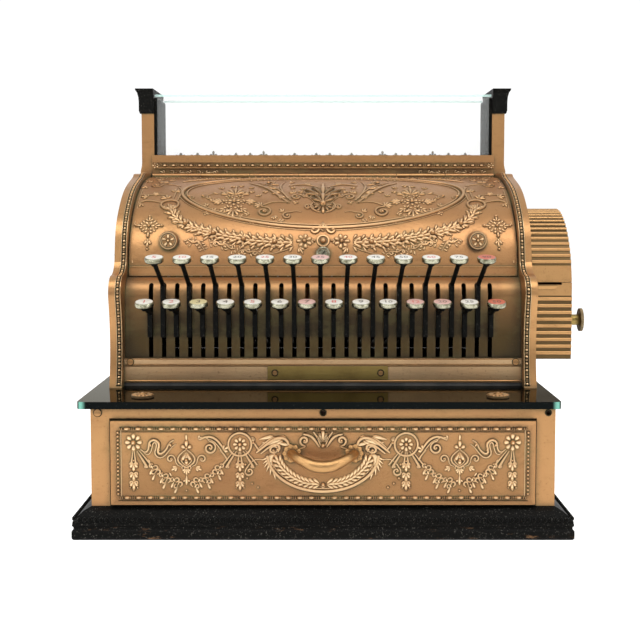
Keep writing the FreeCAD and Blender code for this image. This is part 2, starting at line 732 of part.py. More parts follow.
# ---------------------------------------------------------------- drawer
def drawer_front():
    y0 = case_front - drawer_proud
    return mid_box(opening_half() - drawer_gap, y0, y0 + drawer_front_thickness,
                   plinth_height + drawer_gap + 0.6, opening_top() - drawer_gap)


def tray_planes():
    y0 = case_front - drawer_proud + drawer_front_thickness
    y1 = case_back - case_wall - tray_back_space
    z0 = plinth_height + drawer_gap + 1.2
    return opening_half() - drawer_gap - 2.0, y0, y1, z0, z0 + tray_height


def drawer_tray():
    """Wooden box with five note bays in front and six coin bays behind."""
    half, y0, y1, z0, z1 = tray_planes()
    floor = mid_box(half, y0, y1, z0, z0 + tray_floor)
    zf = z0 + tray_floor
    sides = [box(-half, -half + tray_wall, y0, y1, zf, z1), box(half - tray_wall, half, y0, y1, zf, z1)]
    inner = half - tray_wall
    ends = [mid_box(inner, y0, y0 + tray_wall, zf, z1), mid_box(inner, y1 - tray_wall, y1, zf, z1)]
    cross_y = y0 + 0.56 * (y1 - y0)
    cross = mid_box(inner, cross_y, cross_y + 5.0, zf, z1 - 8.0)
    dividers = []
    for count, a, b in ((5, y0 + tray_wall, cross_y), (6, cross_y + 5.0, y1 - tray_wall)):
        for i in range(1, count):
            x = -inner + i * 2 * inner / count
            dividers.append(box(x - 2.0, x + 2.0, a, b, zf, z1 - 8.0))
    return [floor] + sides + ends + [cross] + dividers


def drawer_handle():
    """Cast bow pull with a round boss at each end."""
    y = case_front - drawer_proud
    z = (plinth_height + opening_top()) / 2 + 9.0
    half = handle_span / 2
    path = Part.Wire([arc(Vector(-half, y - 7.0, z), Vector(0, y - handle_reach, z - handle_drop),
                          Vector(half, y - 7.0, z))])
    start = path.Edges[0].tangentAt(path.Edges[0].FirstParameter)
    ring = Part.Wire([Part.Circle(Vector(-half, y - 7.0, z), start, handle_radius).toShape()])
    bow = path.makePipeShell([ring], True, False)
    bosses = [rod_y(6.6, y - 10.0, y, s * half, z) for s in (-1, 1)]
    return fused([bow] + bosses)


def drawer_spring():
    """Spring that throws the drawer open, squeezed between its back and the case."""
    half, y0, y1, z0, z1 = tray_planes()
    radius, wire, turns = 9.0, 1.2, 5
    length = tray_back_space - 2 * wire - 1.0
    z = z0 + tray_height / 2
    helix = Part.makeHelix(length / turns, length, radius)
    ring = Part.Wire([Part.Circle(Vector(radius, 0, 0), Vector(0, 1, 0), wire).toShape()])
    spring = Part.Wire(helix).makePipeShell([ring], True, True)
    spring.rotate(Vector(0, 0, 0), Vector(1, 0, 0), -90)
    spring.translate(Vector(0, y1 + wire + 0.5, z))
    return spring


# ---------------------------------------------------------------- strip printer
def ribbed_edges(place, first, last, crests, straight):
    """Edges along a line or arc from first to last, with a half-round rib at every crest.

    place(s, out) gives the point at s millimetres along, raised by out.
    """
    edges, at = [], first
    for s in crests:
        a, b = s - rib_half, s + rib_half
        if a > at + 1e-6:
            edges.append(plain_run(place, at, a, straight))
        edges.append(arc(place(a, 0), place(s, rib_height), place(b, 0)))
        at = b
    edges.append(plain_run(place, at, last, straight))
    return edges


def plain_run(place, a, b, straight):
    return line(place(a, 0), place(b, 0)) if straight else arc(place(a, 0), place((a + b) / 2, 0), place(b, 0))


def crest_places(first, last):
    count = max(1, int((last - first) / rib_pitch))
    start = (first + last - (count - 1) * rib_pitch) / 2
    return [start + i * rib_pitch for i in range(count)]


def printer_planes():
    base = printer_radius - rib_height
    return printer_y - base, printer_y + base, outer_half + printer_width


def printer_case():
    """Lower box, ribbed front and back, its front edge cut down for the strip, with a pin for the paper roll."""
    y0, y1, x1 = printer_planes()
    x0 = outer_half + 0.1
    z0, z1 = printer_bottom, printer_seam - 0.4
    crests = crest_places(z0 + 1.5, printer_seam - 12.0)
    front = ribbed_edges(lambda s, out: yz(y0 - out, s), z0, z1, crests, True)
    back = ribbed_edges(lambda s, out: yz(y1 + out, s), z0, z1, crests, True)
    block = outline_solid(front + back + [line(yz(y0, z0), yz(y1, z0)), line(yz(y0, z1), yz(y1, z1))], x0, x1)
    hollow = box(x0 + 2.2, x1 - printer_wall, y0 + printer_wall, y1 - printer_wall, z0 + printer_wall, z1 + 1)
    case = block.cut(hollow)
    case = case.cut(box(x0 + 3.0, x1 - 10.0, y0 - 4, y0 + printer_wall + 1, z1 - 2.2, z1 + 1))
    case = case.cut(rod_x(spool_shaft_radius + running_gap, x1 - 5, x1 + 1, knob_y, knob_z))
    pin = rod_x(roll_bore, x0 + 2.2, x1 - printer_wall - 4.0, roll_y, roll_z)
    barrels = []
    for a, b in printer_hinge_spans(odd=True):
        barrels.append(rod_x(hinge_radius, a, b, printer_hinge_y(), printer_seam))
        barrels.append(box(a, b, y1 - 0.5, printer_hinge_y(), printer_seam - 5.0, printer_seam - 0.6))
    case = fused([case] + barrels)
    case = case.cut(rod_x(hinge_pin_radius + running_gap, x0 - 1, x1 + 1, printer_hinge_y(), printer_seam))
    return [case, pin]


def printer_hinge_y():
    return printer_planes()[1] + hinge_radius + 1.2


def printer_hinge_spans(odd):
    a = outer_half + printer_gap + 1.0
    b = outer_half + printer_width - 1.0
    step = (b - a) / 3
    return [(a + i * step + 0.3, a + (i + 1) * step - 0.3) for i in range(3) if i % 2 == (1 if odd else 0)]


def printer_cover():
    """Ribbed half drum, open underneath and towards the cabinet, hinged along its back edge."""
    base = printer_radius - rib_height
    x0, x1 = outer_half + printer_gap, outer_half + printer_width
    rise = printer_seam - printer_z
    low = math.asin(rise / base)
    scale = base

    def place(s, out):
        angle = math.pi - s / scale
        return yz(printer_y + (base + out) * math.cos(angle), printer_z + (base + out) * math.sin(angle))

    first, last = low * scale, (math.pi - low) * scale
    crests = crest_places(first + 17.0, last - 17.0)
    edges = ribbed_edges(place, first, last, crests, False)
    drum = outline_solid(edges + [line(place(first, 0), place(last, 0))], x0, x1)
    hollow = rod_x(base - printer_wall, x0 - 1, x1 - printer_wall, printer_y, printer_z)
    drum = drum.cut(hollow)
    y1 = printer_planes()[1]
    barrels = []
    for a, b in printer_hinge_spans(odd=False):
        barrels.append(rod_x(hinge_radius, a, b, printer_hinge_y(), printer_seam))
        barrels.append(box(a, b, y1 - 2.2, printer_hinge_y(), printer_seam + 0.2, printer_seam + 5.0))
    drum = fused([drum] + barrels)
    return drum.cut(rod_x(hinge_pin_radius + running_gap, x0 - 1, x1 + 1, printer_hinge_y(), printer_seam))


def printer_knob():
    """Knurled knob on the take-up spool's shaft, with the spool's two flanges."""
    x1 = outer_half + printer_width
    x0 = outer_half + 4.0
    shaft = rod_x(spool_shaft_radius, x0, x1 + 1.0, knob_y, knob_z)
    neck = rod_x(knob_neck_radius, x1 + 0.4, x1 + 13.2, knob_y, knob_z)
    head = rod_x(knob_radius, x1 + 13.0, x1 + 21.2, knob_y, knob_z)
    flanges = [rod_x(spool_radius, a, a + 1.5, knob_y, knob_z) for a in (x0 + 3.0, x1 - printer_wall - 4.5)]
    core = rod_x(spool_shaft_radius + 7.0, x0 + 4.5, x1 - printer_wall - 4.5, knob_y, knob_z)
    spindle = fused([shaft, neck, head])
    return [spindle] + [p.cut(spindle) for p in flanges + [core]]


def paper_roll():
    x1 = outer_half + printer_width - printer_wall
    x0 = outer_half + 4.0
    roll = rod_x(roll_radius, x0 + 1.5, x1 - 5.5, roll_y, roll_z)
    return roll.cut(rod_x(roll_bore + running_gap, x0, x1, roll_y, roll_z))


# ---------------------------------------------------------------- fasteners and hinge pins
def slotted_screw(radius, head, shank_radius, length, x, y, z):
    """Cheese-head screw let in from the front: its head stands on the plane Y = y."""
    top = rod_y(radius, y - head, y, x, z)
    top = top.cut(box(x - radius, x + radius, y - head - 0.1, y - head + head * 0.45, z - 0.35, z + 0.35))
    return fused([top, rod_y(shank_radius, y - 0.01, y + length, x, z)])


def screws():
    """Casing screws, the shelf's two rosette studs, the hinge pins and the hammer's pin."""
    half = inner_half - 0.3
    items = [slotted_screw(3.0, 1.2, 1.95, 5.0, s * (half - 6.0), rail_front, slot_bottom - 3.3) for s in (-1, 1)]
    items.append(slotted_screw(3.2, 1.2, 2.05, 5.0, -(case_half - 6.5), case_front, case_top - 5.0))
    y = rail_front + 0.8 - plate_thickness
    items += [slotted_screw(2.3, 0.8, 1.35, 3.0, plate_centre + s * plate_screw, y, plate_z) for s in (-1, 1)]
    for x in shelf_rosettes:
        profile = [(0, 0), (10.2, 0), (10.2, 0.9), (8.2, 2.0), (4.5, 2.4), (3.0, 3.6), (0, 3.9)]
        items.append(turned(profile, Vector(x, case_front + 19.0, glass_top), 0))
    lid_pin = inner_half - 1.2
    items.append(rod_x(hinge_pin_radius, -lid_pin, lid_pin, lid_hinge_y, lid_hinge_z))
    a = outer_half + printer_gap + 1.3
    items.append(rod_x(hinge_pin_radius, a, outer_half + printer_width - 1.3, printer_hinge_y(), printer_seam))
    items.append(hammer_pin())
    return items


# ---------------------------------------------------------------- write every node
def main():
    os.makedirs("parts", exist_ok=True)
    export("plinth", [plinth()])
    export("drawer_case", drawer_case())
    export("case_face_frame", case_face_frame())
    export("glass_shelf", [glass_shelf()])
    export("side_casting_left", [side_casting(-1)])
    export("side_casting_right", [side_casting(1)])
    export("keyboard_panel", [keyboard_panel()])
    export("keyboard_rail", [keyboard_rail()])
    export("lower_front_panel", [lower_front_panel()])
    export("name_plate", [name_plate()])
    export("back_panel", [back_panel()])
    export("lid", lid())
    export("lid_lock", [lid_lock()])
    export("indicator_cornice", indicator_cornice())
    export("window_posts", window_posts())
    export("window_jambs", window_jambs())
    export("post_caps", post_caps())
    export("window_glass", window_glass())
    export("indicator_tablets", indicator_tablets())
    export("mechanism_frame", mechanism_frame())
    export("key_shaft", key_shaft())
    export("adding_wheels", adding_wheels())
    export("bell", bell())
    export("bell_hammer", [bell_hammer()])
    export("drawer_front", [drawer_front()])
    export("drawer_tray", drawer_tray())
    export("drawer_handle", [drawer_handle()])
    export("drawer_spring", [drawer_spring()])
    export("printer_case", printer_case())
    export("printer_cover", [printer_cover()])
    export("printer_knob", printer_knob())
    export("paper_roll", [paper_roll()])
    export("screws", screws())
    made = {"front": 0, "back": 0}
    banks = {"front": (front_bank, front_keys), "back": (back_bank, back_keys)}
    for x, name in slot_positions():
        bank, count = banks[name]
        export("key_%s_%02d" % (name, made[name] + 1), key(x, bank, made[name], count))
        made[name] += 1


main()
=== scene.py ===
import bpy
import json
import math
import numpy as np
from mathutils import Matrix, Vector


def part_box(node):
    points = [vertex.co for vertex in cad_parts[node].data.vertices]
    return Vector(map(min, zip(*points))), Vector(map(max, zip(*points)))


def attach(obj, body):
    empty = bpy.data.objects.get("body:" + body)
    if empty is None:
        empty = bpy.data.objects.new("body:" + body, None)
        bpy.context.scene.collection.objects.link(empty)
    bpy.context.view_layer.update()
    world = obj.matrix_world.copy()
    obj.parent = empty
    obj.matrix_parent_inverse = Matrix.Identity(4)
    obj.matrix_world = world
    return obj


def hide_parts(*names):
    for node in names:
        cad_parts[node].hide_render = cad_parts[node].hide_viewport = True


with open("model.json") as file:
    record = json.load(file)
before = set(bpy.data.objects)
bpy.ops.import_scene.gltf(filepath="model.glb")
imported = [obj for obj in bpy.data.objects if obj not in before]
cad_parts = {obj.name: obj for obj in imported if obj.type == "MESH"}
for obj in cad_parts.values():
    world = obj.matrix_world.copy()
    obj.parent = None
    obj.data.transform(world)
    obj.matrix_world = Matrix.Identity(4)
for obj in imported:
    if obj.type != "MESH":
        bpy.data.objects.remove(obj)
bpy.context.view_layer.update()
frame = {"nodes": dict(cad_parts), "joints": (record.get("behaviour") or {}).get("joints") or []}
mm = 0.001


# small helpers used by every piece
def clearSelection():
    if bpy.context.object and bpy.context.object.mode != "OBJECT":
        bpy.ops.object.mode_set(mode="OBJECT")
    bpy.ops.object.select_all(action="DESELECT")


def pick(*pieces):
    clearSelection()
    for piece in pieces:
        piece.select_set(True)
    bpy.context.view_layer.objects.active = pieces[0]


def settle(piece, name):  # the place goes into the mesh, so the object sits at the origin
    pick(piece)
    bpy.ops.object.transform_apply(location=True, rotation=True, scale=True)
    piece.name = name
    piece.data.name = name
    return piece


def join(name, *pieces):
    pick(*pieces)
    if len(pieces) > 1:
        bpy.ops.object.join()
    return settle(bpy.context.object, name)


def smooth(piece, degrees=35):
    pick(piece)
    bpy.ops.object.shade_smooth_by_angle(angle=math.radians(degrees))


def recalc(piece):
    pick(piece)
    bpy.ops.object.mode_set(mode="EDIT")
    bpy.ops.mesh.select_all(action="SELECT")
    bpy.ops.mesh.normals_make_consistent(inside=False)
    bpy.ops.object.mode_set(mode="OBJECT")


def bevelled(piece, width, segments=2):
    pick(piece)
    modifier = piece.modifiers.new("edges", "BEVEL")
    modifier.width = width
    modifier.segments = segments
    modifier.limit_method = "ANGLE"
    bpy.ops.object.modifier_apply(modifier="edges")


def block(name, low, high):
    clearSelection()
    low, high = Vector(low), Vector(high)
    bpy.ops.mesh.primitive_cube_add(size=1, location=(low + high) / 2, scale=high - low)
    return settle(bpy.context.object, name)


def meshFrom(name, points, faces):
    mesh = bpy.data.meshes.new(name)
    mesh.from_pydata([tuple(p) for p in points], [], faces)
    mesh.update()
    piece = bpy.data.objects.new(name, mesh)
    bpy.context.scene.collection.objects.link(piece)
    return piece


def dress(piece, body, slot, *paints):
    piece.data.materials.clear()
    for paint in paints:
        piece.data.materials.append(paint)
    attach(piece, body)
    return piece


def nodeBox(name):
    low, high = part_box(name)
    return Vector(low), Vector(high)


# shader maths: a socket that can be added, multiplied and mixed
class Wire:
    def __init__(self, paint, socket):
        self.paint = paint
        self.socket = socket

    def work(self, operation, first, second):
        return self.paint.node("ShaderNodeMath", {"operation": operation}, {0: first, 1: second})

    def __add__(self, other):
        return self.work("ADD", self, other)

    def __sub__(self, other):
        return self.work("SUBTRACT", self, other)

    def __rsub__(self, other):
        return self.work("SUBTRACT", other, self)

    def __mul__(self, other):
        return self.work("MULTIPLY", self, other)

    def __truediv__(self, other):
        return self.work("DIVIDE", self, other)

    def __pow__(self, other):
        return self.work("POWER", self, other)

    __radd__ = __add__
    __rmul__ = __mul__

    def limited(self):
        return self.paint.node("ShaderNodeClamp", {}, {"Value": self})

    def between(self, low, high):  # 0 below low, 1 above high
        return self.paint.node("ShaderNodeMapRange", {"interpolation_type": "SMOOTHSTEP"},
                               {"Value": self, "From Min": low, "From Max": high})


class Paint:
    def __init__(self, name):
        self.material = bpy.data.materials.new(name)
        self.material.use_nodes = True
        self.tree = self.material.node_tree
        self.shader = self.tree.nodes["Principled BSDF"]
        self.place = self.node("ShaderNodeTexCoord", {}, {}, "Object")

    def node(self, kind, settings, sockets, output=0):
        made = self.tree.nodes.new(kind)
        for key, value in settings.items():
            if key == "stops":
                ramp = made.color_ramp
                while len(ramp.elements) < len(value):
                    ramp.elements.new(0.5)
                for element, (position, colour) in zip(ramp.elements, value):
                    element.position = position
                    element.color = (*colour, 1)
            else:
                setattr(made, key, value)
        for key, value in sockets.items():
            if isinstance(value, Wire):
                self.tree.links.new(value.socket, made.inputs[key])
            else:
                made.inputs[key].default_value = value
        return Wire(self, made.outputs[output])

    def mix(self, share, first, second, blend="MIX"):
        first = (*first, 1) if isinstance(first, tuple) else first
        second = (*second, 1) if isinstance(second, tuple) else second
        return self.node("ShaderNodeMix", {"data_type": "RGBA", "blend_type": blend},
                         {0: share, 6: first, 7: second}, 2)

    def noise(self, scale, detail=3.0, roughness=0.55, stretch=(1, 1, 1)):
        where = self.place
        if stretch != (1, 1, 1):
            where = self.node("ShaderNodeMapping", {}, {"Vector": where, "Scale": stretch})
        return self.node("ShaderNodeTexNoise", {},
                         {"Vector": where, "Scale": scale, "Detail": detail, "Roughness": roughness})

    def crevice(self, reach, sharpness=1.0):  # 1 deep in a corner, 0 in the open
        exposed = self.node("ShaderNodeAmbientOcclusion", {"samples": 6}, {"Distance": reach}, "AO")
        return (1 - exposed ** sharpness).limited()

    def along(self, axis):  # the place's own X, Y or Z, in metres
        return self.node("ShaderNodeSeparateXYZ", {}, {0: self.place}, axis)

    def attribute(self, name):
        return self.node("ShaderNodeAttribute", {"attribute_name": name}, {}, "Fac")

    def bump(self, height, strength, distance=0.0006):
        return self.node("ShaderNodeBump", {}, {"Height": height, "Strength": strength, "Distance": distance})

    def feed(self, **sockets):
        for key, value in sockets.items():
            socket = self.shader.inputs[key.replace("_", " ")]
            if isinstance(value, Wire):
                self.tree.links.new(value.socket, socket)
            else:
                socket.default_value = value if not isinstance(value, tuple) else (*value, 1)
        return self.material


# finishes
bronzeTones = {
    "copper": (0.37, 0.18, 0.080),
    "brassy": (0.45, 0.255, 0.105),
    # bright: painted highlight on the tops of the relief, and the pale tone of the rail
    "bright": (0.90, 0.69, 0.41),
    "brown": (0.15, 0.075, 0.032),
    # umber: painted shade on the keyboard panel and in the printer's grooves
    "umber": (0.085, 0.056, 0.024),
    # patina and verdigris: real patina in the hollows, also laid on as painted shade by the mask below
    "patina": (0.042, 0.033, 0.015),
    "verdigris": (0.125, 0.115, 0.048),
}


def castBronze(name, warm=0.5, raised=False, grain=0.35, reach=0.006, depth=1.0, onset=0.12, shade=None,
               gleam=1.0, pale=0.0):
    paint = Paint(name)
    tones = bronzeTones
    cloud = paint.noise(9.0, 4.0, 0.6)
    streak = paint.noise(26.0, 5.0, 0.65, (1, 1, 2.2))
    speck = paint.noise(1100.0, 2.0, 0.5)
    pits = paint.noise(420.0, 3.0, 0.6)
    base = paint.mix((cloud * 1.3 - 0.15 + (warm - 0.5)).limited(), tones["copper"], tones["brassy"])
    base = paint.mix(streak.between(0.5, 0.8) * 0.5, base, tones["brown"])
    if pale:
        base = paint.mix(cloud * 0.4 + pale - 0.2, base, tones["bright"])
    # painted shade: the given mask darkens the colour towards umber
    if shade:
        base = paint.mix(shade(paint), base, tones["umber"])
    # hidden: ambient occlusion, 1 when shut in a hollow; it paints shade into corners and hollows
    hidden = paint.crevice(reach, 1.4)
    if raised:
        # painted highlight: relief tops (rise near 1) take the bright tone; gleam sets how much
        rise = paint.attribute("rise")
        base = paint.mix(rise.between(0.72, 1.0) * (0.45 + cloud * 0.6) * gleam, base, tones["bright"])
        # painted shade down the sides of the relief (rise near 0)
        hidden = (hidden * 0.7 + (1 - rise.between(0.05, 0.6)) * 0.75).limited()
    # hollows and relief sides take the patina tones: partly real patina, partly painted shade
    patinaShadeTone = paint.mix(streak.between(0.42, 0.62), tones["patina"], tones["verdigris"])
    patinaShadeMask = (hidden.between(onset, onset + 0.6) * depth * (0.62 + cloud * 0.5)).limited()
    base = paint.mix(patinaShadeMask, base, patinaShadeTone)
    base = paint.mix(pits.between(0.58, 0.76) * 0.4, base, tones["brown"])
    bump = paint.bump(speck * 0.5 + pits * 0.7, grain, 0.0004)
    return paint.feed(Base_Color=base, Metallic=(1 - patinaShadeMask * 0.75).limited(),
                      Roughness=0.27 + patinaShadeMask * 0.35 + streak * 0.12 + pits * 0.1,
                      Normal=bump)


slotShade = {"foot": 0.150, "top": 0.250, "strength": 1.15}


# painted shade: the panel darkens towards the foot of the slots, below the keys
def panelShade(paint):  # darker towards the foot of the slots
    return (1 - paint.along("Z").between(slotShade["foot"], slotShade["top"])) * slotShade["strength"]


ribLook = {"axis": (0.004, 0.2117), "lidFoot": (0.2225, 0.2235), "groove": (0.0824, 0.0836),
           "bandFoot": (0.2090, 0.2105), "bandTop": (0.2385, 0.2400), "strength": 0.9}


# painted shade in the grooves of the printer's housing
def ribShade(paint):  # the grooves of the printer's housing, not its plain bands
    level = paint.along("Z")
    y = paint.along("Y") - ribLook["axis"][0]
    z = level - ribLook["axis"][1]
    drum = (y * y + z * z) ** 0.5
    flat = (y * y) ** 0.5
    upper = level.between(*ribLook["lidFoot"])
    out = drum * upper + flat * (1 - upper)
    banded = level.between(*ribLook["bandFoot"]) * (1 - level.between(*ribLook["bandTop"]))
    return (1 - out.between(*ribLook["groove"])) * (1 - banded) * ribLook["strength"]


def plainMetal(name, tone, worn, roughness=0.3, metallic=1.0, reach=0.004, grain=0.2, cloudy=35.0):
    paint = Paint(name)
    cloud = paint.noise(cloudy, 4.0, 0.6)
    scratch = paint.noise(160.0, 3.0, 0.6, (1, 1, 7))
    hidden = paint.crevice(reach)
    base = paint.mix(cloud.between(0.4, 0.75), tone, worn)
    # painted shade: corners and hollows darken to near black
    base = paint.mix(hidden.between(0.15, 0.8) * 0.7, base, (0.02, 0.02, 0.018))
    return paint.feed(Base_Color=base, Metallic=metallic, Roughness=roughness + cloud * 0.15 + hidden * 0.2,
                      Normal=paint.bump(scratch, grain, 0.0002))


def blackLacquer(name, wood=0.0, roughness=0.35, relief=0.35, specks=0.3):
    paint = Paint(name)
    wear = paint.noise(60.0, 6.0, 0.72, (0.6, 1, 2.4))
    lightSpecks = paint.noise(700.0, 2.0, 0.6)
    # light specks on the black: partly dust, partly painted glints
    base = paint.mix(lightSpecks.between(0.60, 0.74) * specks, (0.0035, 0.0035, 0.003), (0.16, 0.15, 0.13))
    if wood:
        grain = paint.noise(40.0, 5.0, 0.6, (0.08, 1, 4))
        bare = paint.mix(grain, (0.09, 0.045, 0.02), (0.22, 0.12, 0.06))
        foot = 1 - paint.along("Z").between(0.004, 0.016)  # only the lowest moulding is worn bare
        base = paint.mix(wear.between(0.6, 0.68) * foot * wood, base, bare)
    return paint.feed(Base_Color=base, Roughness=roughness + wear * 0.25, IOR=1.14,
                      Normal=paint.bump(wear + lightSpecks * 0.4, relief, 0.0006))


def glassPaint(name, tint, alpha, roughness=0.03):
    paint = Paint(name)
    smear = paint.noise(24.0, 4.0, 0.6)
    paint.material.surface_render_method = "DITHERED"
    return paint.feed(Base_Color=paint.mix(smear, tint, tuple(c * 0.92 for c in tint)), Alpha=alpha,
                      Roughness=roughness + smear * 0.02)


# painted glint: where the front edge of the glass shows green at its two ends
shelfGlint = {"middle": 0.0035, "ends": (0.2075, 0.2125), "front": (-0.1972, -0.1955)}


def shelfPaint():
    paint = Paint("shelfGlass")
    lightSpecks = paint.noise(900.0, 2.0, 0.55)
    smear = paint.noise(14.0, 5.0, 0.6)
    across = paint.node("ShaderNodeMath", {"operation": "ABSOLUTE"},
                        {0: paint.along("X") + shelfGlint["middle"]})
    edge = across.between(*shelfGlint["ends"]) * (1 - paint.along("Y").between(*shelfGlint["front"]))
    base = paint.mix(lightSpecks.between(0.66, 0.78) * 0.5, (0.004, 0.005, 0.005), (0.10, 0.10, 0.095))
    # painted glint: green at both ends of the front edge
    base = paint.mix(edge * 0.55, base, (0.25, 0.62, 0.50))
    return paint.feed(Base_Color=base, Roughness=0.03 + smear * 0.05 + lightSpecks.between(0.66, 0.78) * 0.3,
                      Metallic=0.9,
                      Specular_Tint=(0.50, 0.48, 0.42), IOR=1.2)


def woodPaint(name, pale, deep):
    paint = Paint(name)
    grain = paint.noise(30.0, 6.0, 0.65, (0.12, 0.9, 1))
    ring = paint.node("ShaderNodeTexWave", {"wave_type": "BANDS", "bands_direction": "Z"},
                      {"Vector": paint.place, "Scale": 18.0, "Distortion": 7.0, "Detail": 3.0}, "Fac")
    return paint.feed(Base_Color=paint.mix((grain * 0.6 + ring * 0.5).limited(), pale, deep),
                      Roughness=0.5 + grain * 0.15, Normal=paint.bump(grain, 0.25, 0.0005))


def paperPaint(name, tone, mark):
    paint = Paint(name)
    fibre = paint.noise(900.0, 3.0, 0.6)
    stain = paint.noise(60.0, 4.0, 0.6)
    return paint.feed(Base_Color=paint.mix(stain.between(0.45, 0.8) * 0.5, tone, mark),
                      Roughness=0.55 + fibre * 0.2,
                      Coat_Weight=0.6, Normal=paint.bump(fibre, 0.1, 0.0002))


finish = {
    "cast": castBronze("castBronze", warm=0.6, reach=0.008, depth=1.2),
    "relief": castBronze("reliefBronze", raised=True, reach=0.003, grain=0.2, depth=1.0),
    "garland": castBronze("garlandBronze", warm=0.4, raised=True, reach=0.0025, grain=0.4, depth=0.9,
                          gleam=0.5),
    "field": castBronze("fieldBronze", warm=0.4, reach=0.0045, grain=0.7, depth=1.2, onset=0.04),
    "drawer": castBronze("drawerBronze", warm=0.45, reach=0.011, grain=0.9, depth=1.15, onset=0.02),
    "panel": castBronze("panelBronze", warm=0.35, reach=0.02, depth=0.95, shade=panelShade),
    "rail": castBronze("railBronze", warm=0.2, reach=0.003, grain=0.25, pale=0.38),
    "plain": castBronze("plainBronze", warm=0.6, reach=0.008, grain=0.25),
    "printer": castBronze("printerGilt", warm=1.0, reach=0.003, grain=0.2, depth=0.7, shade=ribShade),
    "gilt": castBronze("giltPull", warm=1.1, reach=0.003, grain=0.9, depth=0.8),
    "brass": plainMetal("plateBrass", (0.33, 0.235, 0.075), (0.24, 0.165, 0.055), 0.3),
    "knob": plainMetal("knobBronze", (0.16, 0.12, 0.07), (0.32, 0.23, 0.12), 0.35),
    "steel": plainMetal("brightSteel", (0.52, 0.52, 0.50), (0.36, 0.36, 0.34), 0.25),
    "nickel": plainMetal("wornNickel", (0.38, 0.37, 0.27), (0.11, 0.10, 0.06), 0.2, reach=0.003, grain=0.8,
                         cloudy=210.0),
    "iron": plainMetal("frameIron", (0.06, 0.06, 0.06), (0.12, 0.11, 0.10), 0.55, 0.4),
    "black": blackLacquer("blackJapan"),
    "jamb": blackLacquer("jambBlack", roughness=0.65, specks=0.5),
    "lever": blackLacquer("leverBlack", roughness=0.4),
    "plinth": blackLacquer("plinthLacquer", wood=0.9, roughness=0.3, relief=1.0, specks=0.5),
    "shelf": shelfPaint(),
    "glass": glassPaint("windowGlass", (0.93, 0.97, 0.96), 0.07),
    "glassEdge": glassPaint("glassEdge", (0.62, 0.86, 0.80), 0.45),
    "ink": plainMetal("darkRing", (0.03, 0.028, 0.018), (0.085, 0.078, 0.04), 0.5, cloudy=160.0),
    "case": woodPaint("stainedOak", (0.20, 0.10, 0.05), (0.10, 0.045, 0.022)),
    "tray": woodPaint("oiledBeech", (0.42, 0.26, 0.13), (0.27, 0.15, 0.07)),
    "enamel": paperPaint("whiteEnamel", (0.80, 0.78, 0.70), (0.62, 0.58, 0.48)),
    "paper": paperPaint("paperStrip", (0.82, 0.80, 0.72), (0.66, 0.60, 0.48)),
}

cadFinish = {
    "plinth": "plinth", "drawer_case": "case", "case_face_frame": "plain", "glass_shelf": "shelf",
    "side_casting_left": "cast", "side_casting_right": "cast", "keyboard_panel": "panel",
    "keyboard_rail": "rail",
    "lower_front_panel": "rail", "name_plate": "brass", "back_panel": "plain", "lid": "field",
    "lid_lock": "nickel",
    "indicator_cornice": "plain", "window_posts": "plain", "window_jambs": "jamb", "post_caps": "black",
    "window_glass": "glass", "indicator_tablets": "enamel", "mechanism_frame": "iron", "key_shaft": "steel",
    "adding_wheels": "steel", "bell": "brass", "bell_hammer": "steel", "drawer_front": "drawer",
    "drawer_tray": "tray", "drawer_handle": "gilt", "drawer_spring": "steel", "printer_case": "printer",
    "printer_cover": "printer", "printer_knob": "knob", "paper_roll": "paper", "screws": "plain",
}
for name, piece in frame["nodes"].items():
    piece.data.materials.clear()
    piece.data.materials.append(finish[cadFinish.get(name, "lever")])
print("finishes on the carried-over nodes")


# camera, floor and light
cameraRig = {"lens": 63.84375, "spot": (0.0, -1.1973, 0.2954), "pitch": 4.0, "shift": (-0.00475, -0.0497)}

bpy.ops.object.camera_add(location=cameraRig["spot"], rotation=(math.radians(90 - cameraRig["pitch"]), 0, 0))
camera = bpy.context.object
camera.data.lens = cameraRig["lens"]
camera.data.sensor_width = 36
camera.data.shift_x, camera.data.shift_y = cameraRig["shift"]
camera.data.clip_start = 0.01
bpy.context.scene.camera = camera

bpy.ops.mesh.primitive_plane_add(size=12, location=(0, 0, 0))
floor = settle(bpy.context.object, "floor")
floorPaint = Paint("paleFloor")
floor.data.materials.append(floorPaint.feed(
    Base_Color=floorPaint.mix(floorPaint.noise(3.0), (0.93, 0.93, 0.93), (0.96, 0.96, 0.96)), Roughness=0.8,
    Emission_Color=(1.0, 1.0, 1.0), Emission_Strength=0.45))

lamps = {  # place, size, power, aimed at
    "top": ((0.0, -0.75, 1.5), (2.2, 0.8), 22, (0, -0.05, 0.2)),
    "left": ((-1.5, -1.1, 0.8), (0.5, 1.4), 12, (0, 0, 0.2)),
    "right": ((1.5, -1.1, 0.8), (0.5, 1.4), 12, (0, 0, 0.2)),
    "front": ((0.0, -2.4, 1.1), (2.6, 0.35), 9, (0, 0, 0.15)),
}
for name, (place, size, power, aim) in lamps.items():
    bpy.ops.object.light_add(type="AREA", location=place)
    lamp = bpy.context.object
    lamp.name = "lamp." + name
    lamp.data.shape = "RECTANGLE"
    lamp.data.size, lamp.data.size_y = size
    lamp.data.energy = power
    lamp.rotation_euler = (Vector(aim) - Vector(place)).to_track_quat("-Z", "Y").to_euler()

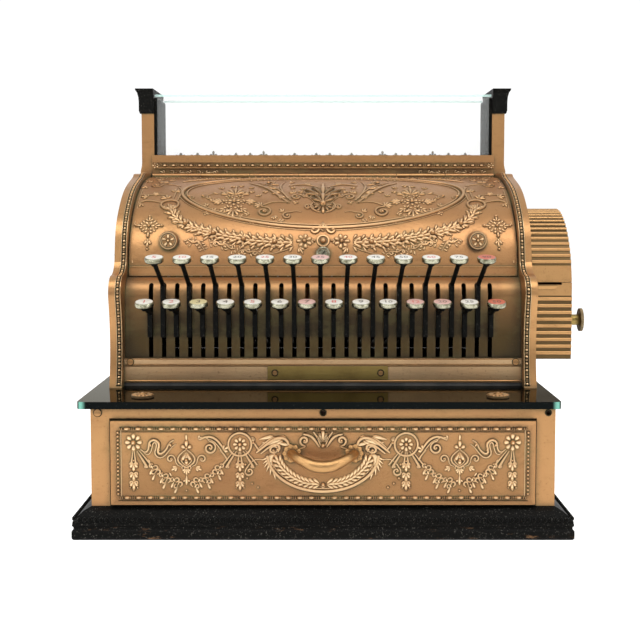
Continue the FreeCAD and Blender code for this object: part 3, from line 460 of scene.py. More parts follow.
world = bpy.data.worlds.new("studio")
bpy.context.scene.world = world
world.use_nodes = True
sky = world.node_tree  # a white room, dimmer behind the camera
direction = sky.nodes.new("ShaderNodeTexCoord")
split = sky.nodes.new("ShaderNodeSeparateXYZ")
fade = sky.nodes.new("ShaderNodeMapRange")
fade.interpolation_type = "SMOOTHSTEP"
for socket, value in (("From Min", -0.45), ("From Max", 0.35), ("To Min", 0.10), ("To Max", 1.05)):
    fade.inputs[socket].default_value = value
sky.links.new(direction.outputs["Generated"], split.inputs[0])
sky.links.new(split.outputs["Y"], fade.inputs["Value"])
sky.links.new(fade.outputs[0], sky.nodes["Background"].inputs["Strength"])
sky.nodes["Background"].inputs["Color"].default_value = (1, 1, 1, 1)
bpy.context.scene.view_settings.view_transform = "Standard"


# relief ornament, laid out flat in millimetres and then wrapped on its panel
def dropShape():  # a teardrop one unit long, pointed at the origin
    clearSelection()
    bpy.ops.mesh.primitive_uv_sphere_add(segments=8, ring_count=6, radius=0.5, location=(0.5, 0, 0))
    piece = bpy.context.object
    bpy.ops.object.transform_apply(location=True, rotation=True, scale=True)
    for vertex in piece.data.vertices:
        along = vertex.co.x
        vertex.co.y *= 0.25 + 0.95 * along
        vertex.co.z *= 0.45 + 0.75 * along
    points = np.array([v.co[:] for v in piece.data.vertices])
    faces = [tuple(f.vertices) for f in piece.data.polygons]
    bpy.data.objects.remove(piece)
    return points, faces


def beadShape():
    clearSelection()
    bpy.ops.mesh.primitive_uv_sphere_add(segments=8, ring_count=6, radius=1)
    piece = bpy.context.object
    points = np.array([v.co[:] for v in piece.data.vertices])
    faces = [tuple(f.vertices) for f in piece.data.polygons]
    bpy.data.objects.remove(piece)
    return points, faces


shapes = {"drop": dropShape(), "bead": beadShape()}


class Relief:
    def __init__(self, mirrored=True):
        self.stamps = []   # kind, x, y, angle, length, width, height
        self.strands = []  # points, half widths, closed
        self.mirrored = mirrored

    def drop(self, x, y, angle, length, width, height=None):
        height = height or width * 0.75
        self.stamps.append(("drop", x, y, angle, length, width, height))
        if self.mirrored and (abs(x) > 0.3 or abs(math.cos(math.radians(angle))) > 0.02):
            self.stamps.append(("drop", -x, y, 180 - angle, length, width, height))

    def bead(self, x, y, radius, height=None, stretch=1.0, angle=0):
        height = height or radius * 0.9
        self.stamps.append(("bead", x, y, angle, radius * stretch, radius, height))
        if self.mirrored and abs(x) > 0.3:
            self.stamps.append(("bead", -x, y, 180 - angle, radius * stretch, radius, height))

    def strand(self, points, width, start=0.5, end=0.4, closed=False):
        last = len(points) - 1
        halves = []
        for i in range(len(points)):
            share = i / last
            swell = start + (1 - start) * min(1, share * 2.5) if share < 0.5 else end + (1 - end) * min(1,
                    (1 - share) * 2.5)
            halves.append(width / 2 * (1 if closed else swell))
        self.strands.append((points, halves, closed))
        if self.mirrored and max(abs(x) for x, y in points) > 0.3 and not closed:
            self.strands.append(([(-x, y) for x, y in points], halves, closed))

    def ring(self, x, y, radiusX, radiusY, width, steps=16):
        points = [(x + radiusX * math.cos(2 * math.pi * i / steps),
                   y + radiusY * math.sin(2 * math.pi * i / steps))
                  for i in range(steps)]
        self.strand(points, width, closed=True)
        if self.mirrored and abs(x) > 0.3:
            self.strand([(-px, py) for px, py in points], width, closed=True)

    def spiral(self, x, y, radius, turns, angle, hand, width, lead=()):
        steps = max(6, int(turns * 9))
        points = list(lead)
        for i in range(steps + 1):
            share = i / steps
            r = radius * (1 - 0.82 * share)
            a = math.radians(angle) + hand * share * turns * 2 * math.pi
            points.append((x + r * math.cos(a), y + r * math.sin(a)))
        self.strand(points, width, 0.5, 0.75)
        self.bead(x, y, width * 0.8)

    def flower(self, x, y, radius, petals=8, turn=0):
        for i in range(petals):
            a = turn + 360 * i / petals
            c, s = math.cos(math.radians(a)), math.sin(math.radians(a))
            self.drop(x + c * radius * 0.25, y + s * radius * 0.25, a, radius * 0.8, radius * 0.55,
                      radius * 0.3)
        self.bead(x, y, radius * 0.32)

    def fan(self, x, y, angle, spread, count, length, width):
        for i in range(count):
            share = 0 if count == 1 else i / (count - 1) * 2 - 1
            self.drop(x, y, angle + share * spread / 2, length * (1 - 0.28 * abs(share)), width)

    def curl(self, x, y, angle, size, hand, width=1.2):  # a comma with a drop at its end
        points = []
        for i in range(7):
            a = math.radians(angle) + hand * i / 6 * math.pi * 1.35
            r = size * (1 - 0.09 * i)
            points.append((x + r * (math.cos(a) - math.cos(math.radians(angle))),
                           y + r * (math.sin(a) - math.sin(math.radians(angle)))))
        self.strand(points, width, 0.5, 0.8)
        self.bead(points[-1][0], points[-1][1], width * 0.75)

    def leafRow(self, points, spacing, length, width, lean=32):  # overlapping leaves along a path
        stations = walk(points, spacing)
        for i, (x, y, heading) in enumerate(stations):
            for side in (-1, 1):
                self.drop(x, y, heading + side * lean, length, width)
            self.drop(x, y, heading, length * 1.1, width * 1.1)
            if i % 3 == 1:
                off = heading + (90 if i % 2 else -90)
                self.bead(x + width * 1.3 * math.cos(math.radians(off)),
                          y + width * 1.3 * math.sin(math.radians(off)), width * 0.33)

    def make(self, name, wrap, fuller=1.35, lift=1.45):
        clearSelection()
        points, faces = [], []
        for kind, x, y, angle, length, width, height in self.stamps:
            shape, shapeFaces = shapes[kind]
            offset = len(points)
            c, s = math.cos(math.radians(angle)), math.sin(math.radians(angle))
            if kind == "drop":
                width, length = width * fuller * 0.93, length * (1 + (fuller - 1) * 0.4)
            for px, py, pz in shape:
                points.append((x + px * length * c - py * width * s, y + px * length * s + py * width * c,
                               pz * height * lift))
            faces.extend(tuple(v + offset for v in face) for face in shapeFaces)
        piece = meshFrom(name, points, faces)
        if self.strands:
            piece = join(name, piece, self.strandMesh(0.7225 * lift, fuller))
        # 1 on top of the relief, 0 down its sides
        upward = np.array([v.normal.z for v in piece.data.vertices])
        rise = piece.data.attributes.new("rise", "FLOAT", "POINT")
        rise.data.foreach_set("value", np.clip(upward, 0, 1).astype(np.float32))
        for vertex in piece.data.vertices:
            vertex.co = wrap(vertex.co.x, vertex.co.y, vertex.co.z)
        smooth(piece, 60)
        return piece

    def strandMesh(self, flatten, fuller):
        bpy.ops.curve.primitive_nurbs_path_add(radius=1, location=(0, 0, 0))
        line = bpy.context.object
        curve = line.data
        curve.splines.clear()
        curve.bevel_depth = 1.0
        curve.bevel_resolution = 1
        curve.resolution_u = 2
        curve.use_fill_caps = True
        curve.twist_mode = "Z_UP"
        for points, halves, closed in self.strands:
            spline = curve.splines.new("NURBS")
            spline.points.add(len(points) - 1)
            for point, (x, y), half in zip(spline.points, points, halves):
                point.co = (x, y, 0, 1)
                point.radius = half * fuller
            spline.use_cyclic_u = closed
            spline.order_u = 3
            spline.use_endpoint_u = not closed
        pick(line)
        bpy.ops.object.convert(target="MESH")
        line = bpy.context.object
        for vertex in line.data.vertices:
            vertex.co.z *= flatten
        return line


def walk(points, spacing):  # evenly spaced (x, y, heading) along a smoothed run of points
    dense = []
    for i in range(len(points) - 1):
        p0, p1, p2, p3 = points[max(i - 1, 0)], points[i], points[i + 1], points[min(i + 2, len(points) - 1)]
        for k in range(12):
            t = k / 12
            dense.append(tuple(0.5 * ((2 * b) + (c - a) * t + (2 * a - 5 * b + 4 * c - d) * t * t
                                      + (3 * b - a - 3 * c + d) * t * t * t) for a, b, c, d in zip(p0, p1,
                                              p2, p3)))
    dense.append(points[-1])
    stations, left = [], 0.0
    for (ax, ay), (bx, by) in zip(dense, dense[1:]):
        length = math.hypot(bx - ax, by - ay)
        while left <= length:
            share = left / max(length, 1e-9)
            stations.append((ax + (bx - ax) * share, ay + (by - ay) * share,
                             math.degrees(math.atan2(by - ay, bx - ax))))
            left += spacing
        left -= length
    return stations


# drawer front: raised rim, bead-and-reel border and cast ornament
drawerLook = {"rim": 3.4, "rimHeight": 1.8, "beadPitch": 10.4, "borderIn": 7.2}


def drawerOrnament():
    low, high = nodeBox("drawer_front")
    face = low.y
    halfWide = high.x * 1000
    zLow, zHigh = low.z * 1000, high.z * 1000
    relief = Relief()
    top, bottom, side = zHigh - drawerLook["borderIn"], zLow + drawerLook["borderIn"] - 0.6, halfWide - 6.6
    pitch = drawerLook["beadPitch"]
    count = int((side - 2) / pitch)
    for line in (top, bottom):
        for i in range(-count, count + 1):
            x = i * (side - 3) / (count + 0.5)
            if x >= 0:
                relief.bead(x, line, 1.75, 1.7, stretch=1.9)
                for off in (4.1, 5.7, 7.3):
                    if x + off < side - 2:
                        relief.bead(x + off, line, 1.7, 1.5, stretch=0.36)
        relief.strand([(-side, line - 3.0), (0, line - 3.0), (side, line - 3.0)], 0.5, 1, 1)
    steps = int((top - bottom) / 3.4)
    for i in range(1, steps):
        relief.bead(side - 0.2, bottom + (top - bottom) * i / steps, 1.5, 1.4)
    relief.strand([(side - 3, bottom), (side - 3, (top + bottom) / 2), (side - 3, top)], 0.7, 1, 1)

    # corner rosette with its ribbons and tassels
    for x, y, size in ((170.1, 86.3, 6.6), (74.6, 84.6, 5.4)):
        relief.flower(x, y, size, 8)
        relief.bead(x, y, size * 0.42)
        relief.strand([(x - 0.6, y - size - 1), (x - 1.4, y - size - 9), (x - 2.4, y - size - 15)], 1.6,
                      0.6, 1)
        relief.strand([(x + 0.6, y - size - 1), (x + 1.4, y - size - 9), (x + 2.4, y - size - 15)], 1.6,
                      0.6, 1)
        for drop, width in ((16.5, 7.2), (25.5, 6.6), (33.5, 6.8)):
            level = y - size - drop + 1.5
            if level < 46:
                continue
            relief.fan(x, level + 4.0, -90, 62, 3, 7.6, 2.9)
            relief.curl(x + 2.4, level, -60, 2.7, 1, 1.5)
            relief.curl(x - 2.4, level, -120, 2.7, -1, 1.5)
            relief.bead(x, level + 5.2, 1.2)
        relief.bead(x, 43.6, 1.5)
        relief.bead(x - 3.4, 45.2, 1.1)
        relief.bead(x + 3.4, 45.2, 1.1)
    relief.ring(74.6, 84.6, 10.6, 10.6, 1.7)
    for hand, x0 in ((-1, 170.1 - 3), (-1, 74.6 - 3), (1, 74.6 + 3)):
        y0 = 78.5
        relief.strand([(x0, y0), (x0 + hand * 5, y0 - 7), (x0 + hand * 9.5, y0 - 15)], 2.0, 0.5, 1)
        relief.strand([(x0 + hand * 2, y0 + 0.5), (x0 + hand * 8, y0 - 6.5),
                       (x0 + hand * 12.5, y0 - 12.5)], 1.4, 0.5, 1)
        relief.curl(x0 + hand * 10, y0 - 14, 200 if hand < 0 else -20, 2.4, -hand, 1.3)

    # crumpled ribbon
    relief.strand([(164, 80), (160, 76), (156, 80), (156.5, 87), (151, 89.5), (146, 85), (149, 78), (146, 75),
                   (140, 80), (138, 87), (134, 88.5)], 2.0, 0.5, 0.5)
    relief.strand([(161, 77), (157.5, 73.5), (153.5, 79), (153, 86), (150, 86.6), (149, 83), (152, 76),
                   (147, 71.5),
                   (141.5, 74), (135.5, 83), (132, 85)], 1.3, 0.5, 0.5)
    for x, y in ((155, 84), (147.5, 80), (137, 84)):
        relief.bead(x, y, 1.3, 1.3, stretch=1.8, angle=60)

    # hanging urn between its scrolls
    cx = 122.7
    relief.fan(cx, 80.5, 90, 120, 3, 6.4, 3.4)
    relief.bead(cx, 80.8, 1.5)
    relief.drop(cx, 86.5, 90, 6.0, 2.0)
    for off in (-1, 1):
        relief.strand([(cx, 80), (cx + off * 5.2, 76.5), (cx + off * 8.6, 71), (cx + off * 5.2, 66),
                       (cx, 63.5)], 1.4, 0.6, 0.8)
        relief.strand([(cx, 77), (cx + off * 3.0, 74), (cx + off * 5.2, 70.5), (cx + off * 3, 67),
                       (cx, 65)], 1.0, 0.6, 0.8)
        relief.spiral(cx + off * 14.2, 71.4, 4.3, 1.2, 180 if off > 0 else 0, -off, 1.35,
                      lead=[(cx + off * 5, 64.5), (cx + off * 9, 65)])
        relief.fan(cx + off * 8, 64.0, -90 + off * 62, 60, 3, 5.6, 2.2)
        relief.curl(cx + off * 3.2, 61.5, -90 + off * 30, 2.6, off, 1.2)
    relief.fan(cx, 76.5, -90, 62, 3, 9.0, 3.4)
    relief.bead(cx, 70.6, 2.0, 2.4)
    relief.fan(cx, 63.5, -90, 95, 5, 6.0, 2.0)
    relief.drop(cx, 58, -90, 8.6, 2.6)
    relief.fan(cx, 52.5, -90, 120, 3, 4.4, 2.0)
    relief.bead(cx, 42.6, 1.2)

    # swag of linked scrolls under it
    for x, y, angle in ((152.6, 64.5, 40), (150.5, 59.5, 10), (143.5, 56.5, 30), (141.0, 51.5, 0),
                        (133.6, 52.5, 20),
                        (130.5, 47.5, -10)):
        for off in (1, -1):
            sx = cx + off * (x - cx)
            relief.curl(sx, y, angle if off > 0 else 180 - angle, 3.4, off, 1.5)
            relief.curl(sx, y, (angle + 180) if off > 0 else -angle, 2.9, off, 1.4)
            relief.drop(sx, y - 1, -90 + off * 25, 6.4, 2.4)
            relief.drop(sx + off * 2, y + 2, 60 * off, 4.4, 1.8)

    # spiral between the urn and the ringed rosette
    relief.spiral(101.6, 81.4, 6.6, 1.55, 75, 1, 1.7, lead=[(112.4, 90.2), (107, 91.6), (102.5, 89.6)])
    relief.strand([(111, 88.6), (105, 92.6), (97, 90.6), (91.4, 84.6), (87.2, 77.2)], 2.0, 0.6, 0.6)
    relief.strand([(105, 90.2), (98, 88), (94, 82.6), (89.6, 77)], 1.1, 0.6, 0.6)
    relief.fan(90.4, 79.0, 150, 80, 3, 6.2, 2.4)
    relief.fan(112.5, 90.0, 170, 90, 3, 4.0, 1.6)
    relief.strand([(92.6, 79.6), (87.6, 75), (85.8, 70)], 1.6, 0.6, 0.8)

    # acanthus between the ringed rosette and the cartouche
    relief.strand([(64, 91), (61.4, 84), (57.6, 79.6)], 1.8, 0.5, 0.8)
    relief.curl(64.5, 90.6, 60, 2.6, 1, 1.4)
    relief.bead(62.6, 86.0, 1.6)
    for x, y, angle, length in ((58.6, 88.6, 14, 12), (56.4, 85.6, 8, 15), (53.4, 82.4, 24, 15),
                                (50.5, 79.6, 30, 14), (47.6, 90.2, 4, 12), (44, 86.6, -12, 12)):
        relief.drop(x, y, 180 - angle, length, 3.4, 2.4)
    relief.strand([(60, 77), (54, 82), (46, 88.4), (38, 91.6), (31.6, 88.8), (30.6, 84)], 2.6, 0.5, 0.7)
    relief.strand([(58, 80.6), (50, 88.6), (42, 91.6), (35, 90.4)], 1.6, 0.5, 0.7)
    relief.strand([(56, 76), (48, 83), (41.6, 85.6), (37.6, 81.6), (40.6, 78.2)], 2.2, 0.5, 0.9)
    relief.bead(40.9, 80.2, 1.6)
    relief.spiral(66.2, 60.2, 4.6, 1.1, 0, -1, 1.5, lead=[(52, 70.6), (57.5, 71.6), (64, 70)])
    for x, y, angle, length in ((56, 69.5, 205, 12), (55, 66, 220, 12.5), (53.6, 62.4, 235, 13),
                                (51.2, 58.6, 250, 14),
                                (47.6, 55, 265, 13), (42.6, 51.4, 280, 11)):
        relief.drop(x, y, 360 - angle, length, 3.2, 2.2)
    for x, y in ((69.6, 66.4), (68.2, 53.8), (63.6, 49.0), (58.4, 45.6)):
        relief.bead(x, y, 1.4)

    # cartouche with a laurel spray, and the lily over the pull
    oval = [(50 * math.cos(a), 75.8 - 34 * math.sin(a)) for a in [math.radians(d) for d in range(2, 179, 8)]]
    relief.mirrored = False
    relief.strand(oval, 2.4, 1, 1)
    relief.strand([(x * 0.945, 75.8 + (y - 75.8) * 0.93) for x, y in oval], 0.9, 1, 1)
    relief.mirrored = True
    relief.spiral(44.6, 79.2, 5.0, 1.1, 190, -1, 1.9, lead=[(49.6, 73)])
    relief.leafRow([(2.4, 48.2), (14, 49.4), (26, 54.2), (35.5, 62.0), (40.0, 69.0)], 4.3, 7.0, 2.7, 34)
    relief.bead(0, 48.0, 2.2)
    relief.curl(2, 46.4, -20, 2.4, -1, 1.1)
    relief.spiral(16.6, 88.0, 5.2, 1.25, 250, 1, 2.0, lead=[(24, 80.6), (19.4, 80.6)])
    relief.strand([(3.2, 82.0), (6.6, 88), (11.6, 93.4), (17.6, 93.8)], 2.2, 0.6, 0.7)
    relief.strand([(2.2, 83.5), (4.2, 90.6), (8.6, 96)], 1.7, 0.6, 0.7)
    relief.fan(0, 84.6, 90, 74, 5, 11.0, 3.0)
    relief.bead(0, 83.4, 2.4)

    def wrap(x, y, h):
        return Vector((x * mm, face - h * mm, y * mm))

    piece = relief.make("drawerOrnament", wrap, fuller=1.7, lift=1.7)
    dress(piece, "drawer", "bronze", finish["relief"])

    # rim: a picture frame of four mitred sides, made by insetting a plate
    clearSelection()
    rim = block("drawerRim", (low.x, face - drawerLook["rimHeight"] * mm, low.z),
                (high.x, face + 0.3 * mm, high.z))
    pick(rim)
    bpy.ops.object.mode_set(mode="EDIT")
    bpy.ops.mesh.select_all(action="DESELECT")
    bpy.ops.object.mode_set(mode="OBJECT")
    for polygon in rim.data.polygons:
        polygon.select = polygon.normal.y < -0.9
    bpy.ops.object.mode_set(mode="EDIT")
    bpy.ops.mesh.inset(thickness=drawerLook["rim"] * mm, depth=0)
    bpy.ops.transform.translate(value=(0, drawerLook["rimHeight"] * mm * 0.9, 0))
    bpy.ops.object.mode_set(mode="OBJECT")
    bevelled(rim, 0.0007, 2)
    smooth(rim)
    dress(rim, "drawer", "bronze", finish["drawer"])


drawerOrnament()
print("drawer front")


# cast pull: a bow swelling in the middle, between two rosettes
pullLook = {"middle": 5.5, "boss": 7.6, "petals": 9, "plate": 7.3, "endIn": 6.6}


def bowPull():
    low, high = nodeBox("drawer_handle")
    back, front = high.y, low.y
    half = high.x - pullLook["endIn"] * mm
    z = high.z - pullLook["endIn"] * mm
    reach = back - front
    clearSelection()
    bpy.ops.curve.primitive_nurbs_path_add(radius=1, location=(0, 0, 0))
    line = bpy.context.object
    curve = line.data
    curve.splines.clear()
    curve.bevel_depth = mm
    curve.bevel_resolution = 4
    curve.resolution_u = 6
    curve.use_fill_caps = True
    spline = curve.splines.new("NURBS")
    route = [(-1.0, 0.10, 0.0, 0.8), (-0.93, 0.42, -0.3, 0.75), (-0.62, 0.66, -3.4, 0.85),
             (-0.25, 0.84, -7.4, 1.0),
             (0.25, 0.84, -7.4, 1.0), (0.62, 0.66, -3.4, 0.85), (0.93, 0.42, -0.3, 0.75), (1.0, 0.10, 0.0,
                     0.8)]
    spline.points.add(len(route) - 1)
    for point, (across, out, drop, thick) in zip(spline.points, route):
        point.co = (across * half, back - out * reach, z + drop * mm, 1)
        point.radius = pullLook["middle"] * thick
    spline.order_u = 4
    spline.use_endpoint_u = True
    pick(line)
    bpy.ops.object.convert(target="MESH")
    bow = bpy.context.object
    relief = Relief()
    relief.flower(half * 1000, z * 1000, pullLook["boss"], pullLook["petals"])
    relief.ring(half * 1000, z * 1000, 6.9, 6.9, 1.5)
    relief.ring(half * 1000, z * 1000, 4.1, 4.1, 1.2)
    bosses = relief.make("bosses", lambda x, y, h: Vector((x * mm, back - 1.6 * mm - h * mm, y * mm)))
    plates = []
    for side in (-1, 1):
        clearSelection()
        bpy.ops.mesh.primitive_cylinder_add(vertices=28, radius=pullLook["plate"] * mm, depth=2.4 * mm,
                                            location=(side * half, back - 1.0 * mm,
                                                      z), rotation=(math.pi / 2, 0, 0))
        plate = settle(bpy.context.object, "plate")
        bevelled(plate, 0.0006)
        plates.append(plate)
    pull = join("bowPull", bow, bosses, *plates)
    smooth(pull, 50)
    dress(pull, "drawer", "handle_gilt", finish["gilt"])
    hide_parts("drawer_handle")


bowPull()
print("drawer pull")


# lid: oval, garland and flowers wrapped on the curve
class LidCurve:  # a quarter ellipse, measured along its outside from the foot
    def __init__(self):
        hinge = [j for j in frame["joints"] if j["name"] == "lid_hinge"][0]["pos_m"]
        lockFront = nodeBox("lid_lock")[0].y
        lidFoot = nodeBox("lid")[0].z
        self.back = hinge[1] * 1000 - 3.0
        self.base = lidFoot * 1000 + 9.0
        self.reach = self.back - (lockFront * 1000 + 3.0)
        self.rise = hinge[2] * 1000 - 2.2 - self.base
        turn = np.linspace(0, math.pi / 2, 400)
        y, z = self.back - self.reach * np.cos(turn), self.base + self.rise * np.sin(turn)
        self.turn = turn
        self.along = np.concatenate([[0], np.cumsum(np.hypot(np.diff(y), np.diff(z)))])
        self.total = self.along[-1]

    def wrap(self, x, v, h):
        t = float(np.interp(v, self.along, self.turn))
        c, s = math.cos(t), math.sin(t)
        out = Vector((0, -c * self.rise, s * self.reach)).normalized()
        y, z = self.back - self.reach * c, self.base + self.rise * s
        return Vector((x, y, z)) * mm + out * h * mm

    def height(self, z):
        return float(np.interp(math.asin((z - self.base) / self.rise), self.turn, self.along))


lidCurve = LidCurve()
lidLook = {"oval": (146, 61), "ovalMiddle": 102, "button": (152.5, 264.2),
           "garland": [(154, 71), (151, 60.5), (143, 49.5), (129, 41.5), (116, 36.5),
                                                             (94.6, 31), (70, 26.5), (44, 24.5), (29.5,
                                                                     24.5)]}


def lidOrnament():
    relief = Relief()
    wide, tall = lidLook["oval"]
    mid = lidLook["ovalMiddle"]

    def oval(scaleX, scaleY, width):
        relief.strand([(scaleX * math.cos(math.radians(a)), mid + scaleY * math.sin(math.radians(a)))
                       for a in range(0, 360, 8)], width, closed=True)

    oval(wide, tall, 3.4)
    oval(wide - 4.6, tall - 4.0, 1.6)
    oval(wide + 3.6, tall + 2.6, 1.0)

    # inside the oval
    for x, y, size in ((138, 92, 2.0), (124, 94, 1.7)):
        relief.bead(x, y, size)
        relief.curl(x - 1, y + 1, 60, 3.8, 1, 1.3)
    relief.strand([(122, 95), (114, 100), (106, 101)], 1.3)
    relief.drop(108, 99, 30, 7, 2.6)
    cx, cy = 91, 82
    relief.flower(cx, cy, 6.5, 6, 30)
    for angle in (0, 60, 120, 180, 240, 300):
        a = math.radians(angle)
        relief.flower(cx + 10.5 * math.cos(a), cy + 12.5 * math.sin(a), 4.4, 5)
    relief.fan(cx, cy + 15, 90, 110, 5, 16, 4.0)
    relief.fan(cx, cy - 14, -90, 120, 5, 12, 3.4)
    relief.fan(cx - 13, cy, 180, 110, 5, 9, 3.0)
    relief.fan(cx + 13, cy, 0, 110, 5, 9, 3.0)
    for off in (-1, 1):
        relief.fan(cx + off * 8, cy + 15, 90 - off * 40, 70, 3, 9, 3.0)
        relief.fan(cx + off * 8, cy - 13, -90 + off * 45, 70, 3, 8, 2.6)
    relief.drop(cx, cy + 30, 90, 10, 3.0)
    relief.curl(cx - 6, cy + 24, 140, 3.4, 1, 1.3)
    relief.curl(cx + 6, cy + 24, 40, 3.4, -1, 1.3)
    relief.strand([(78, 134), (66, 124), (55, 110), (46, 94), (36, 80)], 2.6, 0.4, 0.8)
    relief.strand([(70, 137), (58, 128), (48, 114), (40, 98), (33, 84)], 1.8, 0.4, 0.8)
    relief.strand([(40, 142), (44, 130), (45, 116), (41, 100), (36, 88)], 2.0, 0.4, 0.8)
    for x, y, angle in ((62, 120, 200), (54, 108, 205), (47, 96, 215), (46, 126, 20), (46, 114, 0),
                        (43, 102, -14),
                        (52, 134, 60), (36, 134, 110)):
        relief.drop(x, y, angle, 9.5, 3.0)
        relief.drop(x, y, angle + 30, 7.5, 2.4)
    relief.spiral(60, 64, 9.0, 1.5, 60, 1, 2.3, lead=[(34, 80), (46, 84), (58, 78)])
    relief.fan(63, 74, 30, 130, 5, 8.0, 2.6)
    relief.fan(50, 58, 250, 90, 4, 6.0, 2.2)
    relief.spiral(36, 58, 5.8, 1.3, 120, -1, 1.9, lead=[(22, 64), (28, 66)])
    relief.fan(40, 64, 50, 80, 3, 6.0, 2.2)
    relief.spiral(27, 92, 7.4, 1.4, 190, -1, 2.0, lead=[(8, 78), (12, 88), (18, 94)])
    relief.fan(30, 101, 60, 110, 4, 7.0, 2.4)
    relief.bead(58, 134, 2.2)
    relief.curl(64, 130, 90, 4, -1, 1.3)
    relief.fan(0, 94, 90, 150, 7, 27, 5.4)
    relief.fan(0, 80, 90, 110, 5, 19, 5.0)
    relief.bead(0, 76, 3.8)
    relief.fan(0, 76, -90, 170, 7, 13, 4.0)
    relief.spiral(15, 72, 5.4, 1.2, 200, -1, 2.0, lead=[(4, 66), (9, 64)])
    relief.spiral(17, 96, 5.8, 1.2, 230, -1, 2.0, lead=[(5, 84), (10, 86)])
    relief.strand([(3, 63), (10, 66), (14, 74), (10, 80)], 2.4, 0.6, 0.6)
    relief.strand([(5, 118), (12, 126), (24, 130), (36, 124)], 2.0, 0.5, 0.6)
    relief.fan(14, 128, 50, 80, 4, 8, 2.6)
    relief.drop(0, 116, 90, 14, 4)
    for x in range(0, 84, 7):
        relief.drop(x, 157 - 0.0022 * x * x, 90, 5.5, 2.8)
        relief.bead(x + 3.5, 168, 1.6)

    # clasp and cabochon under the oval
    relief.strand([(0, 47), (3.5, 44), (4.2, 37), (9, 34.5), (12.4, 38.5), (9.6, 42)], 2.6, 0.8, 0.8)
    relief.bead(9.8, 39.2, 2.2)
    relief.fan(0, 36, 90, 60, 3, 12, 3.6)
    relief.ring(0, 26.5, 5.8, 5.8, 1.7)
    relief.bead(0, 26.5, 3.4, 2.6)
    relief.bead(8.8, 26.5, 1.5)
    relief.flower(18.6, 26.2, 7.2, 7)
    relief.fan(12.5, 26, 180, 60, 3, 5, 1.8)

    for x, y, angle in ((20, 112, 80), (30, 116, 40), (25, 104, 150), (75, 60, 20), (84, 57, 200),
                        (70, 50, 320), (44, 50, 160),
                        (112, 66, 140), (118, 74, 60), (112, 84, 30), (118, 88, 110), (66, 94, 70), (72,
                                104, 20), (26, 80, 20),
                        (120, 62, 200), (62, 104, 160), (74, 116, 60), (84, 122, 20), (96, 120, 150), (106,
                                114, 80)):
        relief.fan(x, y, angle, 100, 3, 5.2, 2.0)
        relief.bead(x, y, 1.1)

    # laurel garland with its ties
    relief.leafRow(lidLook["garland"][::-1], 6.8, 9.5, 3.9, 34)
    relief.leafRow([(x + (3 if y > 40 else 0), y + 3.0) for x, y in lidLook["garland"][::-1]], 8.3, 7.0,
                   2.7, 58)
    relief.leafRow([(x - (3 if y > 40 else 0), y - 3.2) for x, y in lidLook["garland"][::-1]], 9.4, 7.0,
                   2.7, 58)
    for i, (x, y, heading) in enumerate(walk(lidLook["garland"], 5.7)):
        relief.bead(x + (2.6 if i % 2 else -2.2), y + (2.4 if i % 3 else -3.0), 1.25)
    for x, y, heading in walk(lidLook["garland"], 31)[1:]:
        a = math.radians(heading + 90)
        relief.bead(x, y, 3.0, 3.6)
        relief.strand([(x + 6 * math.cos(a), y + 6 * math.sin(a)), (x, y),
                       (x - 6 * math.cos(a), y - 6 * math.sin(a))], 3.0, 0.7, 0.7)

    # ring and bow that the garland hangs from
    relief.ring(156, 76, 9.0, 8.6, 2.4)
    relief.strand([(150, 72), (156, 67), (162, 72)], 3.4)
    relief.strand([(165, 80), (175, 84), (184, 84), (188, 79)], 2.2)
    relief.strand([(149, 84), (147, 96), (146, 110), (152, 120)], 2.4)
    relief.strand([(154, 87), (152, 100), (153, 116)], 1.8)
    relief.fan(160, 88, 60, 120, 4, 9, 3.0)
    relief.fan(154, 104, 110, 120, 4, 8, 2.8)
    relief.fan(180, 92, 20, 120, 4, 8, 2.6)
    relief.strand([(189, 96), (176, 98), (162, 97)], 1.8)
    relief.fan(176, 98, 160, 90, 4, 7, 2.4)
    relief.fan(184, 78, -60, 80, 3, 6, 2.4)

    # cross-shaped flower by the lid's side, and its pendant
    x, y = 174, 44
    relief.flower(x, y, 5.6, 6)
    for angle in (0, 90, 180, 270):
        a = math.radians(angle)
        relief.fan(x + 5.5 * math.cos(a), y + 5.5 * math.sin(a), angle, 100, 3, 6.4, 3.0)
        relief.bead(x + 13.0 * math.cos(a), y + 12.5 * math.sin(a), 1.7)
        b = math.radians(angle + 45)
        relief.drop(x + 4 * math.cos(b), y + 4 * math.sin(b), angle + 45, 5.5, 2.2)
    relief.fan(x, 27, -90, 80, 3, 7, 2.8)
    relief.fan(x, 24, 90, 90, 3, 4.5, 2.4)
    relief.bead(x, 17.6, 1.5)

    # loose ribbon ends under the garland
    for route in ([(134, 28), (129, 23), (124, 27), (121, 22), (117, 16)],
                  [(112, 24), (106, 27), (102, 21), (96, 24), (92, 17), (87, 18)],
                  [(84, 15), (78, 18.5), (74, 13.5), (68, 16.5), (62, 12)]):
        relief.strand(route, 2.2, 0.5, 0.4)
        for x, y, heading in walk(route, 3.1):
            relief.drop(x, y, heading + 100, 4.6, 2.0)
            relief.drop(x, y, heading - 70, 4.2, 1.8)
    relief.strand([(30, 20), (42, 14), (56, 12)], 2.0)
    relief.fan(24, 20, 240, 60, 3, 8, 2.6)

